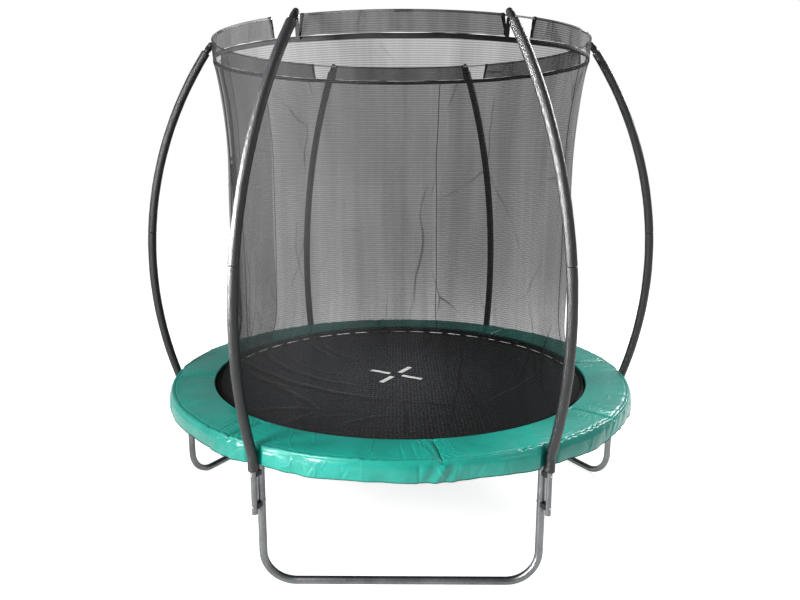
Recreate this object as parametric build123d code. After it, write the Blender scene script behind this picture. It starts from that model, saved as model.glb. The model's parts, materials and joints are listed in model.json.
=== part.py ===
from build123d import *
import math
import os

# Garden trampoline with a safety net. Millimetres, +Z up, origin on the ground under the centre.
# Six rail segments make the round frame. Three U-shaped legs carry it. Six curved net poles are
# bolted outside the legs, lean over the frame and hold the ring at the top of the net.

# ---- driving dimensions -------------------------------------------------------------------

POLE_COUNT = 6
POLE_STEP = 360 / POLE_COUNT

# round frame
RAIL_R = 1195.0
RAIL_Z = 619.0
RAIL_OD = 38.0
RAIL_WALL = 1.5
RAIL_SPIGOT_ANGLE = 2.4
RAIL_COLLAR_ANGLE = 0.3
SOCKET_OD = 38.6
SOCKET_ID = 35.4
SOCKET_BOTTOM_Z = 562.0
SCREW_Z = 576.0
SCREW_D = 5.0
SCREW_HOLE_D = 5.4
SCREW_HEAD_R = 5.5
SCREW_HEAD_H = 4.0
SCREW_REACH = 8.0

# legs
LEG_OD = 35.0
LEG_WALL = 1.5
LEG_TOP_Z = 596.0
LEG_JOINT_Z = 205.0
LEG_BEND_R = 140.0
LEG_SPIGOT = 70.0
LEG_SHOULDER = 5.0

# net poles: a straight foot, a small bend, then one long arc that leans in over the mat
POLE_R = 1240.0
POLE_OD = 25.0
POLE_WALL = 1.5
POLE_FOOT_Z = 351.0
POLE_BEND_Z = 614.4
POLE_BEND_R = 60.0
POLE_START_ANGLE = 19.75
POLE_ARC_R = 1918.7
POLE_ARC_LENGTH = 1892.6
POLE_JOINT_Z = 1430.7
POLE_SPIGOT = 60.0
POLE_SHOULDER = 6.0
POLE_LEAN = 2.6
# each pole's sideways lean: +1 towards the next pole, -1 towards the one before, 0 straight
LEAN_SIDES = [0, 1, -1, 0, 1, -1]

FOAM_OD = 44.0
FOAM_ID = 26.0
FOAM_BOTTOM_Z = 547.0
FOAM_TOP_GAP = 62.0
FOAM_JOINT_GAP = 1.0
CAP_OD = 29.0
CAP_LENGTH = 60.0
CAP_INSET = 6.0
CAP_CROWN = 5.5

# strap from each pole's cap down to the net's hem
STRAP_W = 20.0
STRAP_T = 1.2
STRAP_LOOP_LOW = 46.0
STRAP_LOOP_HIGH = 26.0
STRAP_DROP = 4.0
STRAP_HEM_SHARE = 0.8

# brackets between leg and pole
BRACKET_HEIGHTS = [386.0, 531.0]
BRACKET_WIDTH = 30.0
BRACKET_HEIGHT = 24.0
BRACKET_INSET = 8.0
BRACKET_OUTSET = 4.0
BRACKET_ROUND = 3.0
BOLT_D = 6.0
BOLT_HOLE_D = 6.6
BOLT_HEAD_D = 13.0
BOLT_HEAD_H = 4.0
BOLT_HEAD_ROUND = 2.5
BOLT_SEAT = 0.2
NUT_FLATS = 10.0
NUT_H = 5.0

# springs, V-rings and mat
SPRING_COUNT = 48
SPRING_STEP = 360 / SPRING_COUNT
SPRING_OD = 22.0
SPRING_ID = 15.0
SPRING_WIRE = 3.0
SPRING_BODY_IN_R = 1052.0
SPRING_BODY_OUT_R = 1160.0
SPRING_END_WALL = 3.0
SPRING_HOOK_LIFT = 4.8
SPRING_HOOK_BACK = 7.0
SPRING_TIP_DROP = 8.0
SLOT_W = 7.0
SLOT_SKIN = 4.0
SLOT_LOW = 2.0
SLOT_HIGH = 13.0
SLOT_HOOK_DEPTH = 9.0
MAT_Z = 626.7
MAT_R = 990.0
MAT_T = 3.0
MAT_HEM_W = 40.0
MAT_HEM_T = 1.5
MAT_LOOP_W = 26.0
MAT_LOOP_LAP = 28.0
MAT_LOOP_OUT = 8.0
MAT_LOOP_T = 1.5
RING_BAR_R = 998.0
RING_TIP_R = 1038.0
RING_WIRE = 4.0
RING_BAR_HALF = 24.0
RING_TIP_HALF = 3.0
CROSS_IN = 40.0
CROSS_OUT = 163.0
CROSS_W = 28.0
CROSS_T = 0.6
CROSS_TURN = 60.0
CROSS_CENTRE = (-20.0, 3.0)

# safety pad
PAD_PANELS = 8
PAD_SEAM_TURN = 7.5
PAD_IN_R = 1009.7
PAD_OUT_R = 1231.0
PAD_TOP_Z = 664.0
PAD_BOTTOM_Z = 641.0
PAD_SKIN = 1.0
PAD_EDGE_W = 4.0
PAD_ROUND = 7.0
PAD_PANEL_GAP = 0.5
SKIRT_T = 4.0
SKIRT_BOTTOM_Z = 572.0
PAD_NOTCH_R = 30.0
PAD_NOTCH_AT = 1247.0
TIE_W = 20.0
TIE_TAB_W = 16.0
TIE_T = 1.0
TIE_SLACK = 0.6

# net and its top ring
TOP_RING_R = 944.0
TOP_RING_Z = 2391.0
ROD_D = 8.0
ROD_GAP_ANGLE = 0.1
FERRULE_OD = 11.0
FERRULE_ANGLE = 4.2
SLEEVE_T = 14.0
SLEEVE_H = 88.0
SLEEVE_SKIN = 1.1
SLEEVE_ABOVE_ROD = 8.0
SLEEVE_GAP_ANGLE = 8.0
HEM_H = 22.0
HEM_T = 3.0
NET_T = 3.0
NET_WAIST_R = 890.0
NET_WAIST_LOW_Z = 1000.0
NET_WAIST_HIGH_Z = 1800.0
NET_TOP_R = 938.0
NET_BOTTOM_R = 986.0
NET_BOTTOM_Z = 641.0
BOTTOM_HEM_T = 4.0
BOTTOM_HEM_LIFT = 3.0

# zipped door in the net, on the -X side
DOOR_ANGLE = 180.0
ZIP_LOW_Z = 1010.0
ZIP_HIGH_Z = 1790.0
SLIT_W = 20.0
TAPE_W = 13.0
TAPE_T = 1.2
TEETH_W = 2.2
TEETH_GAP = 1.4
TEETH_T = 2.6
SLIDER_W = 11.0
SLIDER_L = 22.0
SLIDER_WEB = 0.8
PULL_L = 34.0
PULL_W = 8.0
PULL_T = 1.8
PULL_WINDOW_W = 5.0
PULL_WINDOW_L = 13.0
PULL_PIN_D = 1.8
PULL_PIN_L = 7.0
EYE_OD = 5.2
EYE_ID = 2.8
EYE_W = 2.4
SLIDER_ROUND = 2.5
SLIDER_PLAY = 0.5
BINDING_W = 22.0
BINDING_T = 1.4
BINDING_OFFSET = 12.5
CLIP_STRAP_W = 90.0
CLIP_STRAP_H = 16.0
CLIP_W = 26.0
CLIP_H = 22.0
CLIP_DEPTH = 5.8
CLIP_ROUND = 4.0
CLIP_MOUTH_H = 10.0

CLEAR = 0.3

# sizes that follow from the ones above
STRAP_FOOT_Z = TOP_RING_Z + SLEEVE_ABOVE_ROD - SLEEVE_H - HEM_H / 2
ZIP_ROWS_W = 2 * TEETH_W + TEETH_GAP
ZIP_R = NET_WAIST_R + NET_T / 2 + CLEAR + TAPE_T / 2
SLIDER_BACK_R = ZIP_R - 2.6
SLIDER_FACE_R = ZIP_R + 4.4
SLIDER_TOP_Z = ZIP_HIGH_Z - 2
PULL_PIVOT_R = SLIDER_FACE_R + 1.2
PULL_PIVOT_Z = SLIDER_TOP_Z - SLIDER_L / 2
CLIP_HEIGHTS = [ZIP_LOW_Z - 34, ZIP_HIGH_Z + 34]


# ---- helpers ------------------------------------------------------------------------------

def save(name, shape):
    """Write one sub-part."""
    export_step(shape, f"parts/{name}.step")


def around(shape, count, start=0.0):
    """Copies of a solid, evenly spaced round the Z axis."""
    step = 360 / count
    copies = [Rot(0, 0, start + i * step) * shape for i in range(count)]
    return Compound(children=copies)


def solid_along(path, diameter):
    """A round bar along a path."""
    section = Plane(origin=path @ 0, z_dir=path % 0) * Circle(diameter / 2)
    return sweep(section, path=path)


def tube_along(path, outer, inner):
    """A round tube along a path."""
    return solid_along(path, outer) - solid_along(path, inner)


def upright(x, y, low, high, diameter):
    """A vertical round bar between two heights."""
    return Pos(x, y, (low + high) / 2) * Cylinder(diameter / 2, high - low)


def radial_bar(r_in, r_out, z, diameter):
    """A round bar along the X axis, between two radii."""
    return Pos((r_in + r_out) / 2, 0, z) * Rot(0, 90, 0) * Cylinder(diameter / 2, r_out - r_in)


def block(r_in, r_out, width, low, high):
    """A box between two radii along X and two heights."""
    centre = Pos((r_in + r_out) / 2, 0, (low + high) / 2)
    return centre * Box(r_out - r_in, width, high - low)


def hoop(section, turn=360.0, start=0.0):
    """A section drawn in the XZ plane, revolved about Z."""
    return Rot(0, 0, start) * revolve(Plane.XZ * section, axis=Axis.Z, revolution_arc=turn)


def band(r_in, r_out, low, high):
    """A rectangle section between two radii and two heights."""
    return Pos((r_in + r_out) / 2, (low + high) / 2) * Rectangle(r_out - r_in, high - low)


# ---- round frame --------------------------------------------------------------------------

def rail_segment():
    """One sixth of the rail: tube, joining spigot, leg socket and spring slots."""
    centre = Pos(RAIL_R, RAIL_Z)
    bore = RAIL_OD - 2 * RAIL_WALL
    half = POLE_STEP / 2
    tube = hoop(centre * (Circle(RAIL_OD / 2) - Circle(bore / 2)), POLE_STEP, -half)
    spigot_od = bore - 2 * CLEAR
    spigot_id = spigot_od - 2 * RAIL_WALL
    spigot = hoop(centre * (Circle(spigot_od / 2) - Circle(spigot_id / 2)), RAIL_SPIGOT_ANGLE, half)
    collar_section = centre * (Circle(RAIL_OD / 2) - Circle(spigot_id / 2))
    collar = hoop(collar_section, RAIL_COLLAR_ANGLE, half - RAIL_COLLAR_ANGLE)
    rail_solid = hoop(centre * Circle(RAIL_OD / 2), POLE_STEP, -half)
    socket = upright(RAIL_R, 0, SOCKET_BOTTOM_Z, RAIL_Z, SOCKET_OD)
    socket -= upright(RAIL_R, 0, SOCKET_BOTTOM_Z, RAIL_Z, SOCKET_ID)
    socket -= rail_solid
    socket -= radial_bar(RAIL_R - SOCKET_OD, RAIL_R, SCREW_Z, SCREW_HOLE_D)
    segment = tube + spigot + collar + socket
    slot = block(
        RAIL_R - RAIL_OD, RAIL_R - SLOT_SKIN, SLOT_W, RAIL_Z + SLOT_LOW, RAIL_Z + SLOT_HIGH
    )
    per_segment = SPRING_COUNT // POLE_COUNT
    for i in range(per_segment):
        segment -= Rot(0, 0, -half + SPRING_STEP * (i + 0.5)) * slot
    return segment


def frame_screw():
    """Hex screw that holds a leg in its socket, driven from the inner side."""
    face = RAIL_R - SOCKET_OD / 2 - CLEAR
    shank = radial_bar(face, RAIL_R - LEG_OD / 2 + SCREW_REACH, SCREW_Z, SCREW_D)
    hexagon = extrude(RegularPolygon(SCREW_HEAD_R, 6), SCREW_HEAD_H)
    head = Pos(face, 0, SCREW_Z) * Rot(0, -90, 0) * hexagon
    return shank + head


# ---- legs ---------------------------------------------------------------------------------

def leg_extension():
    """Straight upper leg tube, from the socket down to the leg joint."""
    inner = LEG_OD - 2 * LEG_WALL
    tube = upright(RAIL_R, 0, LEG_JOINT_Z, LEG_TOP_Z, LEG_OD)
    tube -= upright(RAIL_R, 0, LEG_JOINT_Z, LEG_TOP_Z, inner)
    for z in BRACKET_HEIGHTS:
        tube -= radial_bar(RAIL_R - LEG_OD, RAIL_R + LEG_OD, z, BOLT_HOLE_D)
    tube -= radial_bar(RAIL_R - LEG_OD, RAIL_R, SCREW_Z, SCREW_HOLE_D)
    return tube


def leg_base():
    """U-shaped floor tube that joins two neighbouring legs, with a reduced spigot at each end."""
    half = RAIL_R * math.sin(math.radians(POLE_STEP / 2))
    back = RAIL_R * math.cos(math.radians(POLE_STEP / 2))
    floor_z = LEG_OD / 2
    inner = LEG_OD - 2 * LEG_WALL
    path = FilletPolyline(
        (-half, 0, LEG_JOINT_Z),
        (-half, 0, floor_z),
        (half, 0, floor_z),
        (half, 0, LEG_JOINT_Z),
        radius=LEG_BEND_R,
    )
    base = tube_along(path, LEG_OD, inner)
    spigot_od = inner - 2 * CLEAR
    spigot_id = spigot_od - 2 * LEG_WALL
    low = LEG_JOINT_Z - LEG_SHOULDER
    high = LEG_JOINT_Z + LEG_SPIGOT
    for x in (-half, half):
        shoulder = upright(x, 0, low, LEG_JOINT_Z - CLEAR, LEG_OD)
        spigot = upright(x, 0, low, high, spigot_od)
        bore = upright(x, 0, low, high, spigot_id)
        base = base + shoulder + spigot - bore
    return Pos(0, -back, 0) * base


# ---- net poles ----------------------------------------------------------------------------

def bend_frame(side):
    """Where a pole leaves its straight foot, turned by its sideways lean."""
    return Pos(POLE_R, 0, POLE_BEND_Z) * Rot(-POLE_LEAN * side, 0, 0)


def arc_point(s, side):
    """The point at arc length s along a pole's long arc."""
    start = math.radians(POLE_START_ANGLE)
    angle = start - s / POLE_ARC_R
    out = POLE_ARC_R * (math.cos(angle) - math.cos(start))
    up = POLE_ARC_R * (math.sin(start) - math.sin(angle))
    return (bend_frame(side) * Pos(out, 0, up)).position


def long_arc(s_from, s_to, side):
    """A stretch of a pole's long arc."""
    middle = (s_from + s_to) / 2
    return ThreePointArc(arc_point(s_from, side), arc_point(middle, side), arc_point(s_to, side))


def joint_length():
    """Arc length from the bend to the joint between the lower and the upper tube."""
    start = math.radians(POLE_START_ANGLE)
    angle = math.asin(math.sin(start) - (POLE_JOINT_Z - POLE_BEND_Z) / POLE_ARC_R)
    return (start - angle) * POLE_ARC_R


JOINT_S = joint_length()
TIP_S = POLE_ARC_LENGTH


def lower_path(z_from, side):
    """Straight foot, small bend and the lower stretch of the long arc."""
    start = math.radians(POLE_START_ANGLE)
    out = math.sin(start)
    up = math.cos(start)
    lean = math.radians(POLE_LEAN * side)
    direction = Vector(out, up * math.sin(lean), up * math.cos(lean))
    turn = math.acos(direction.Z)
    reach = POLE_BEND_R * math.tan(turn / 2)
    straight_end = Vector(POLE_R, 0, POLE_BEND_Z - reach)
    arc_start = arc_point(reach, side)
    foot = Edge.make_line(Vector(POLE_R, 0, z_from), straight_end)
    bend = Edge.make_tangent_arc(straight_end, Vector(0, 0, 1), arc_start)
    rise = Edge.make_tangent_arc(arc_start, bend % 1, arc_point(JOINT_S, side))
    return Wire([foot, bend, rise])


def pole_lower(side):
    """Lower pole tube with a reduced end that plugs into the upper tube."""
    inner = POLE_OD - 2 * POLE_WALL
    tube = tube_along(lower_path(POLE_FOOT_Z, side), POLE_OD, inner)
    spigot_od = inner - 2 * CLEAR
    spigot_id = spigot_od - 2 * POLE_WALL
    low = JOINT_S - POLE_SHOULDER
    shoulder = solid_along(long_arc(low, JOINT_S - CLEAR, side), POLE_OD - POLE_WALL)
    spigot = solid_along(long_arc(low, JOINT_S + POLE_SPIGOT, side), spigot_od)
    bore = solid_along(long_arc(low, JOINT_S + POLE_SPIGOT, side), spigot_id)
    tube = tube + shoulder + spigot - bore
    for z in BRACKET_HEIGHTS:
        tube -= radial_bar(POLE_R - POLE_OD, POLE_R + POLE_OD, z, BOLT_HOLE_D)
    return tube


def pole_upper(side):
    """Upper pole tube, up to the inside of the end cap."""
    path = long_arc(JOINT_S + CLEAR, TIP_S - CAP_OD / 2 - CAP_INSET, side)
    return tube_along(path, POLE_OD, POLE_OD - 2 * POLE_WALL)


def foam_sleeve(side):
    """Two lengths of foam tube round the pole, meeting at the pole joint."""
    lower = tube_along(lower_path(FOAM_BOTTOM_Z, side), FOAM_OD, FOAM_ID)
    upper_path = long_arc(JOINT_S + FOAM_JOINT_GAP, TIP_S - FOAM_TOP_GAP, side)
    upper = tube_along(upper_path, FOAM_OD, FOAM_ID)
    return Compound(children=[lower, upper])


def pole_cap(side):
    """Round-ended plastic cap over the top of the pole."""
    dome_s = TIP_S - CAP_OD / 2
    body = solid_along(long_arc(TIP_S - CAP_LENGTH, dome_s, side), CAP_OD)
    dome = Pos(*arc_point(dome_s, side)) * Sphere(CAP_OD / 2)
    bore_path = long_arc(TIP_S - CAP_LENGTH - CAP_CROWN, dome_s - CAP_CROWN, side)
    return body + dome - solid_along(bore_path, POLE_OD + 2 * CLEAR)


def net_strap(side):
    """Webbing loop round the cap, with a tail that runs down to the net's hem."""
    cap_clear = CAP_OD + 2 * CLEAR
    loop_path = long_arc(TIP_S - STRAP_LOOP_LOW, TIP_S - STRAP_LOOP_HIGH, side)
    loop = tube_along(loop_path, cap_clear + 2 * STRAP_T, cap_clear)
    loop_middle = arc_point(TIP_S - (STRAP_LOOP_LOW + STRAP_LOOP_HIGH) / 2, side)
    top = loop_middle - Vector(CAP_OD / 2 + STRAP_T + CLEAR, 0, STRAP_DROP)
    hem_r = TOP_RING_R + HEM_T / 2 + STRAP_T + CLEAR / 2
    hem_angle = math.atan2(top.Y, top.X) * STRAP_HEM_SHARE
    foot = Vector(hem_r * math.cos(hem_angle), hem_r * math.sin(hem_angle), STRAP_FOOT_Z)
    along = foot - top
    lie = Plane(origin=(top + foot) / 2, x_dir=along, z_dir=along.cross(Vector(0, 1, 0)))
    tail = lie * Box(along.length, STRAP_W, STRAP_T)
    cap_space = solid_along(long_arc(TIP_S - CAP_LENGTH, TIP_S - CAP_INSET, side), cap_clear)
    return loop + (tail - cap_space)


# ---- brackets -----------------------------------------------------------------------------

def bracket_spacer(z):
    """Plastic saddle between the leg and the pole."""
    low = z - BRACKET_HEIGHT / 2
    high = z + BRACKET_HEIGHT / 2
    body = block(RAIL_R + BRACKET_INSET, POLE_R - BRACKET_OUTSET, BRACKET_WIDTH, low, high)
    body = fillet(body.edges().filter_by(Axis.X), BRACKET_ROUND)
    body -= upright(RAIL_R, 0, low - 1, high + 1, LEG_OD + CLEAR)
    body -= upright(POLE_R, 0, low - 1, high + 1, POLE_OD + CLEAR)
    return body - radial_bar(RAIL_R, POLE_R, z, BOLT_HOLE_D)


def bracket_bolt(z):
    """Domed bolt through pole, saddle and leg."""
    face = POLE_R + POLE_OD / 2
    end = RAIL_R - LEG_OD / 2 - 2 * NUT_H
    shank = radial_bar(end, face + BOLT_SEAT, z, BOLT_D)
    dome = radial_bar(face + BOLT_SEAT, face + BOLT_SEAT + BOLT_HEAD_H, z, BOLT_HEAD_D)
    dome = fillet(dome.edges().group_by(Axis.X)[-1], BOLT_HEAD_ROUND)
    return shank + dome


def bracket_nut(z):
    """Hex nut on the inner end of a bracket bolt."""
    face = RAIL_R - LEG_OD / 2 - BOLT_SEAT
    body = extrude(RegularPolygon(NUT_FLATS / 2, 6, major_radius=False), NUT_H)
    body -= Cylinder((BOLT_D + CLEAR) / 2, 4 * NUT_H)
    return Pos(face - NUT_H, 0, z) * Rot(0, 90, 0) * body


# ---- springs, V-rings and mat -------------------------------------------------------------

def spring():
    """Close-wound extension spring: the coil as a tube, with its two wire hooks."""
    coil = radial_bar(SPRING_BODY_IN_R, SPRING_BODY_OUT_R, MAT_Z, SPRING_OD)
    bore_in = SPRING_BODY_IN_R + SPRING_END_WALL
    coil -= radial_bar(bore_in, SPRING_BODY_OUT_R - SPRING_END_WALL, MAT_Z, SPRING_ID)
    slot_r = RAIL_R - SLOT_HOOK_DEPTH
    outer_hook = radial_bar(SPRING_BODY_OUT_R - 1, slot_r, MAT_Z, SPRING_WIRE)
    outer_tip = upright(slot_r, 0, MAT_Z - SPRING_TIP_DROP, MAT_Z + SPRING_WIRE / 2, SPRING_WIRE)
    lift = SPRING_HOOK_LIFT
    hook_r = RING_TIP_R - SPRING_HOOK_BACK
    inner_hook = radial_bar(hook_r, SPRING_BODY_IN_R + 1, MAT_Z + lift, SPRING_WIRE)
    inner_tip = upright(hook_r, 0, MAT_Z - lift, MAT_Z + lift + SPRING_WIRE / 2, SPRING_WIRE)
    return coil + outer_hook + outer_tip + inner_hook + inner_tip


def v_ring():
    """Triangular wire ring between the mat's loop and a spring."""
    bar = RING_BAR_R - RING_WIRE / 2
    tip = RING_TIP_R + RING_WIRE / 2
    wide = RING_BAR_HALF
    narrow = RING_TIP_HALF
    corners = ((bar, -wide), (bar, wide), (tip, narrow), (tip, -narrow))
    outline = make_face(Polyline(*corners, close=True))
    hole = offset(outline, amount=-RING_WIRE)
    low = MAT_Z + MAT_HEM_T / 2 - RING_WIRE / 2
    return Pos(0, 0, low) * extrude(outline - hole, RING_WIRE)


def mat_loop():
    """Webbing tab, folded round the V-ring's bar and over both faces of the mat's edge."""
    inner = MAT_R - MAT_LOOP_LAP
    fold = RING_BAR_R + MAT_LOOP_OUT
    skin = MAT_LOOP_T
    low = MAT_Z - MAT_T / 2 - CLEAR / 2
    high = MAT_Z + MAT_T / 2 + MAT_HEM_T + CLEAR / 2
    outer = band(inner, fold, low - skin, high + skin)
    gap = band(inner - skin, fold - skin, low, high)
    return extrude(Plane.XZ * (outer - gap), MAT_LOOP_W / 2, both=True)


def cross_arm(turn):
    """One bar of the aiming cross printed on the mat."""
    top = MAT_Z + MAT_T / 2
    bar = block(CROSS_IN, CROSS_OUT, CROSS_W, top, top + CROSS_T)
    return Pos(CROSS_CENTRE[0], CROSS_CENTRE[1], 0) * Rot(0, 0, turn) * bar


def net_bottom_hem():
    """Webbing round the foot of the net, over the mat's edge."""
    low = MAT_Z + MAT_T / 2 + MAT_HEM_T + BOTTOM_HEM_LIFT
    half = BOTTOM_HEM_T / 2
    return hoop(band(NET_BOTTOM_R - half, NET_BOTTOM_R + half, low, NET_BOTTOM_Z - CLEAR))


# ---- safety pad ---------------------------------------------------------------------------

def pole_notches():
    """Round clearances where the poles pass the pad's rim."""
    low = SKIRT_BOTTOM_Z - SKIRT_T
    notch = upright(PAD_NOTCH_AT, 0, low, PAD_TOP_Z + SKIRT_T, 2 * PAD_NOTCH_R)
    return around(notch, POLE_COUNT)


def pad_cover():
    """Sewn cover of the pad, hollow for the foam, with a skirt over the rail."""
    top = band(PAD_IN_R, PAD_OUT_R, PAD_BOTTOM_Z, PAD_TOP_Z)
    skirt = band(PAD_OUT_R - SKIRT_T, PAD_OUT_R, SKIRT_BOTTOM_Z, PAD_TOP_Z)
    section = top + skirt
    high = section.vertices().group_by(Axis.Y)[-1]
    section = fillet(high, PAD_ROUND)
    low = PAD_BOTTOM_Z + PAD_SKIN
    cavity = band(PAD_IN_R + PAD_EDGE_W, PAD_OUT_R - PAD_NOTCH_R, low, PAD_TOP_Z - PAD_SKIN)
    cover = hoop(section - cavity)
    for notch in pole_notches().solids():
        cover -= notch
    return cover


def pad_foam_panel():
    """One foam panel inside the cover."""
    r_in = PAD_IN_R + PAD_EDGE_W + CLEAR
    r_out = PAD_OUT_R - PAD_NOTCH_R - CLEAR
    low = PAD_BOTTOM_Z + PAD_SKIN + CLEAR
    high = PAD_TOP_Z - PAD_SKIN - CLEAR
    gap = PAD_PANEL_GAP
    return hoop(band(r_in, r_out, low, high), 360 / PAD_PANELS - gap, PAD_SEAM_TURN + gap / 2)


def pad_tie():
    """Elastic loop that holds the pad to the rail."""
    lie = Pos(RAIL_R, 0, RAIL_Z) * Rot(90, 0, 0)
    inner_r = RAIL_OD / 2 + TIE_SLACK
    loop = lie * Cylinder(inner_r + TIE_T, TIE_W)
    half = TIE_TAB_W / 2
    tab = block(RAIL_R - half, RAIL_R + half, TIE_W, RAIL_Z, PAD_BOTTOM_Z - CLEAR / 3)
    return loop + tab - lie * Cylinder(inner_r, 2 * TIE_W)


# ---- net ----------------------------------------------------------------------------------

def net_edge(shift):
    """One face line of the net wall in section: straight waist, flared at both ends."""
    waist = NET_WAIST_R + shift
    top_z = TOP_RING_Z + SLEEVE_ABOVE_ROD - SLEEVE_H - HEM_H - CLEAR
    foot = (NET_BOTTOM_R + shift, NET_BOTTOM_Z)
    low = (waist, NET_WAIST_LOW_Z)
    high = (waist, NET_WAIST_HIGH_Z)
    head = (NET_TOP_R + shift, top_z)
    flare_low = Spline(foot, low, tangents=[(-0.7, 0.7), (0, 1)])
    flare_high = Spline(high, head, tangents=[(0, 1), (0.35, 0.94)])
    return flare_low, Line(low, high), flare_high


def net_wall():
    """The net: a tube of netting with a narrow waist and a slit for the door."""
    outer = net_edge(NET_T / 2)
    inner = net_edge(-NET_T / 2)
    foot = Line(outer[0] @ 0, inner[0] @ 0)
    head = Line(outer[2] @ 1, inner[2] @ 1)
    section = make_face(Curve() + [*outer, *inner, foot, head])
    wall = hoop(section)
    slit = block(NET_WAIST_R - SLIT_W, NET_WAIST_R + SLIT_W, SLIT_W, ZIP_LOW_Z, ZIP_HIGH_Z)
    return wall - Rot(0, 0, DOOR_ANGLE) * slit


def net_top_sleeve():
    """Tunnel of doubled netting round the top rod, between two poles."""
    middle = TOP_RING_Z + SLEEVE_ABOVE_ROD - SLEEVE_H / 2
    outer = Pos(TOP_RING_R, middle) * RectangleRounded(SLEEVE_T, SLEEVE_H, SLEEVE_T / 2 - 0.5)
    inner = Pos(TOP_RING_R, middle) * RectangleRounded(
        SLEEVE_T - 2 * SLEEVE_SKIN, SLEEVE_H - 2 * SLEEVE_SKIN, SLEEVE_T / 2 - 2 * SLEEVE_SKIN
    )
    return hoop(outer - inner, POLE_STEP - SLEEVE_GAP_ANGLE, SLEEVE_GAP_ANGLE / 2)


def net_hem():
    """Webbing under the sleeves that carries the straps."""
    high = TOP_RING_Z + SLEEVE_ABOVE_ROD - SLEEVE_H - CLEAR
    return hoop(band(TOP_RING_R - HEM_T / 2, TOP_RING_R + HEM_T / 2, high - HEM_H + CLEAR, high))


def top_rod():
    """One of the glass-fibre rods that spread the top of the net."""
    section = Pos(TOP_RING_R, TOP_RING_Z) * Circle(ROD_D / 2)
    return hoop(section, POLE_STEP - ROD_GAP_ANGLE, POLE_STEP / 2)


def rod_ferrule():
    """Metal sleeve over the joint of two rods."""
    section = Circle(FERRULE_OD / 2) - Circle(ROD_D / 2 + CLEAR / 2)
    return hoop(Pos(TOP_RING_R, TOP_RING_Z) * section, FERRULE_ANGLE, POLE_STEP / 2 - FERRULE_ANGLE / 2)


# ---- door ---------------------------------------------------------------------------------

def zip_tape(side):
    """One tape of the zip, beside the teeth."""
    low_r = ZIP_R - TAPE_T / 2
    tape = block(low_r, low_r + TAPE_T, TAPE_W, ZIP_LOW_Z - 10, ZIP_HIGH_Z + 10)
    return Pos(0, side * (ZIP_ROWS_W + TAPE_W) / 2, 0) * tape


def zip_tooth_row(side):
    """One closed row of teeth, on the inner edge of its tape."""
    row = block(ZIP_R - TEETH_T / 2, ZIP_R + TEETH_T / 2, TEETH_W, ZIP_LOW_Z, ZIP_HIGH_Z)
    return Pos(0, side * (TEETH_GAP + TEETH_W) / 2, 0) * row


def zip_slider():
    """Slider: two plates joined by a web between the tooth rows, with an eye for the pull."""
    low = SLIDER_TOP_Z - SLIDER_L
    body = block(SLIDER_BACK_R, SLIDER_FACE_R, SLIDER_W, low, SLIDER_TOP_Z)
    body = fillet(body.edges().filter_by(Axis.X), SLIDER_ROUND)
    teeth_half = TEETH_T / 2 + SLIDER_PLAY
    tape_half = TAPE_T / 2 + SLIDER_PLAY
    rows_w = ZIP_ROWS_W + 2 * SLIDER_PLAY + CLEAR
    web = block(ZIP_R - teeth_half, ZIP_R + teeth_half, SLIDER_WEB, low, SLIDER_TOP_Z)
    channel = block(ZIP_R - teeth_half, ZIP_R + teeth_half, rows_w, low - 1, SLIDER_TOP_Z + 1)
    side_slot = block(ZIP_R - tape_half, ZIP_R + tape_half, 2 * SLIDER_W, low - 1, SLIDER_TOP_Z + 1)
    pivot = Pos(PULL_PIVOT_R, 0, PULL_PIVOT_Z) * Rot(90, 0, 0)
    eye = pivot * Cylinder(EYE_OD / 2, EYE_W)
    return (body - channel - side_slot) + web + eye - pivot * Cylinder(EYE_ID / 2, 2 * EYE_W)


def zip_pull():
    """Pull tab that hangs from the slider's eye."""
    pin = Pos(PULL_PIVOT_R, 0, PULL_PIVOT_Z) * Rot(90, 0, 0) * Cylinder(PULL_PIN_D / 2, PULL_PIN_L)
    inner = PULL_PIVOT_R - PULL_T / 2
    outer = PULL_PIVOT_R + PULL_T / 2
    tab = block(inner, outer, PULL_W, PULL_PIVOT_Z - PULL_L, PULL_PIVOT_Z)
    window_low = PULL_PIVOT_Z + EYE_OD - PULL_WINDOW_L
    window = block(inner - 1, outer + 1, PULL_WINDOW_W, window_low, PULL_PIVOT_Z + EYE_OD)
    return tab - window + pin


def door_binding(side):
    """Webbing sewn beside the zip, from the bottom of the door to its top."""
    offset_y = side * (ZIP_ROWS_W / 2 + TAPE_W + BINDING_OFFSET)
    strip = block(ZIP_R, ZIP_R + BINDING_T, BINDING_W, ZIP_LOW_Z - 8, ZIP_HIGH_Z + 8)
    turn = math.degrees(math.atan2(offset_y, ZIP_R))
    return Rot(0, 0, turn) * strip


def door_clip(z):
    """Small hook and its strap that close the door over the zip."""
    base_r = ZIP_R + TAPE_T / 2
    face_r = base_r + STRAP_T
    strap = block(base_r, face_r, CLIP_STRAP_W, z - CLIP_STRAP_H / 2, z + CLIP_STRAP_H / 2)
    hook = block(face_r, face_r + CLIP_DEPTH, CLIP_W, z - CLIP_H / 2, z + CLIP_H / 2)
    hook = fillet(hook.edges().filter_by(Axis.X), CLIP_ROUND)
    mouth_low = z - CLIP_MOUTH_H / 2
    mouth = block(face_r + BINDING_T, face_r + CLIP_DEPTH - BINDING_T, 2 * CLIP_W, mouth_low, z)
    return strap + hook - mouth


def at_door(shape):
    """Turn something built on +X to the door's side."""
    return Rot(0, 0, DOOR_ANGLE) * shape


def at_poles(maker):
    """One piece at each pole, made for that pole's lean."""
    pieces = [Rot(0, 0, i * POLE_STEP) * maker(LEAN_SIDES[i]) for i in range(POLE_COUNT)]
    return Compound(children=pieces)


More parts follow.
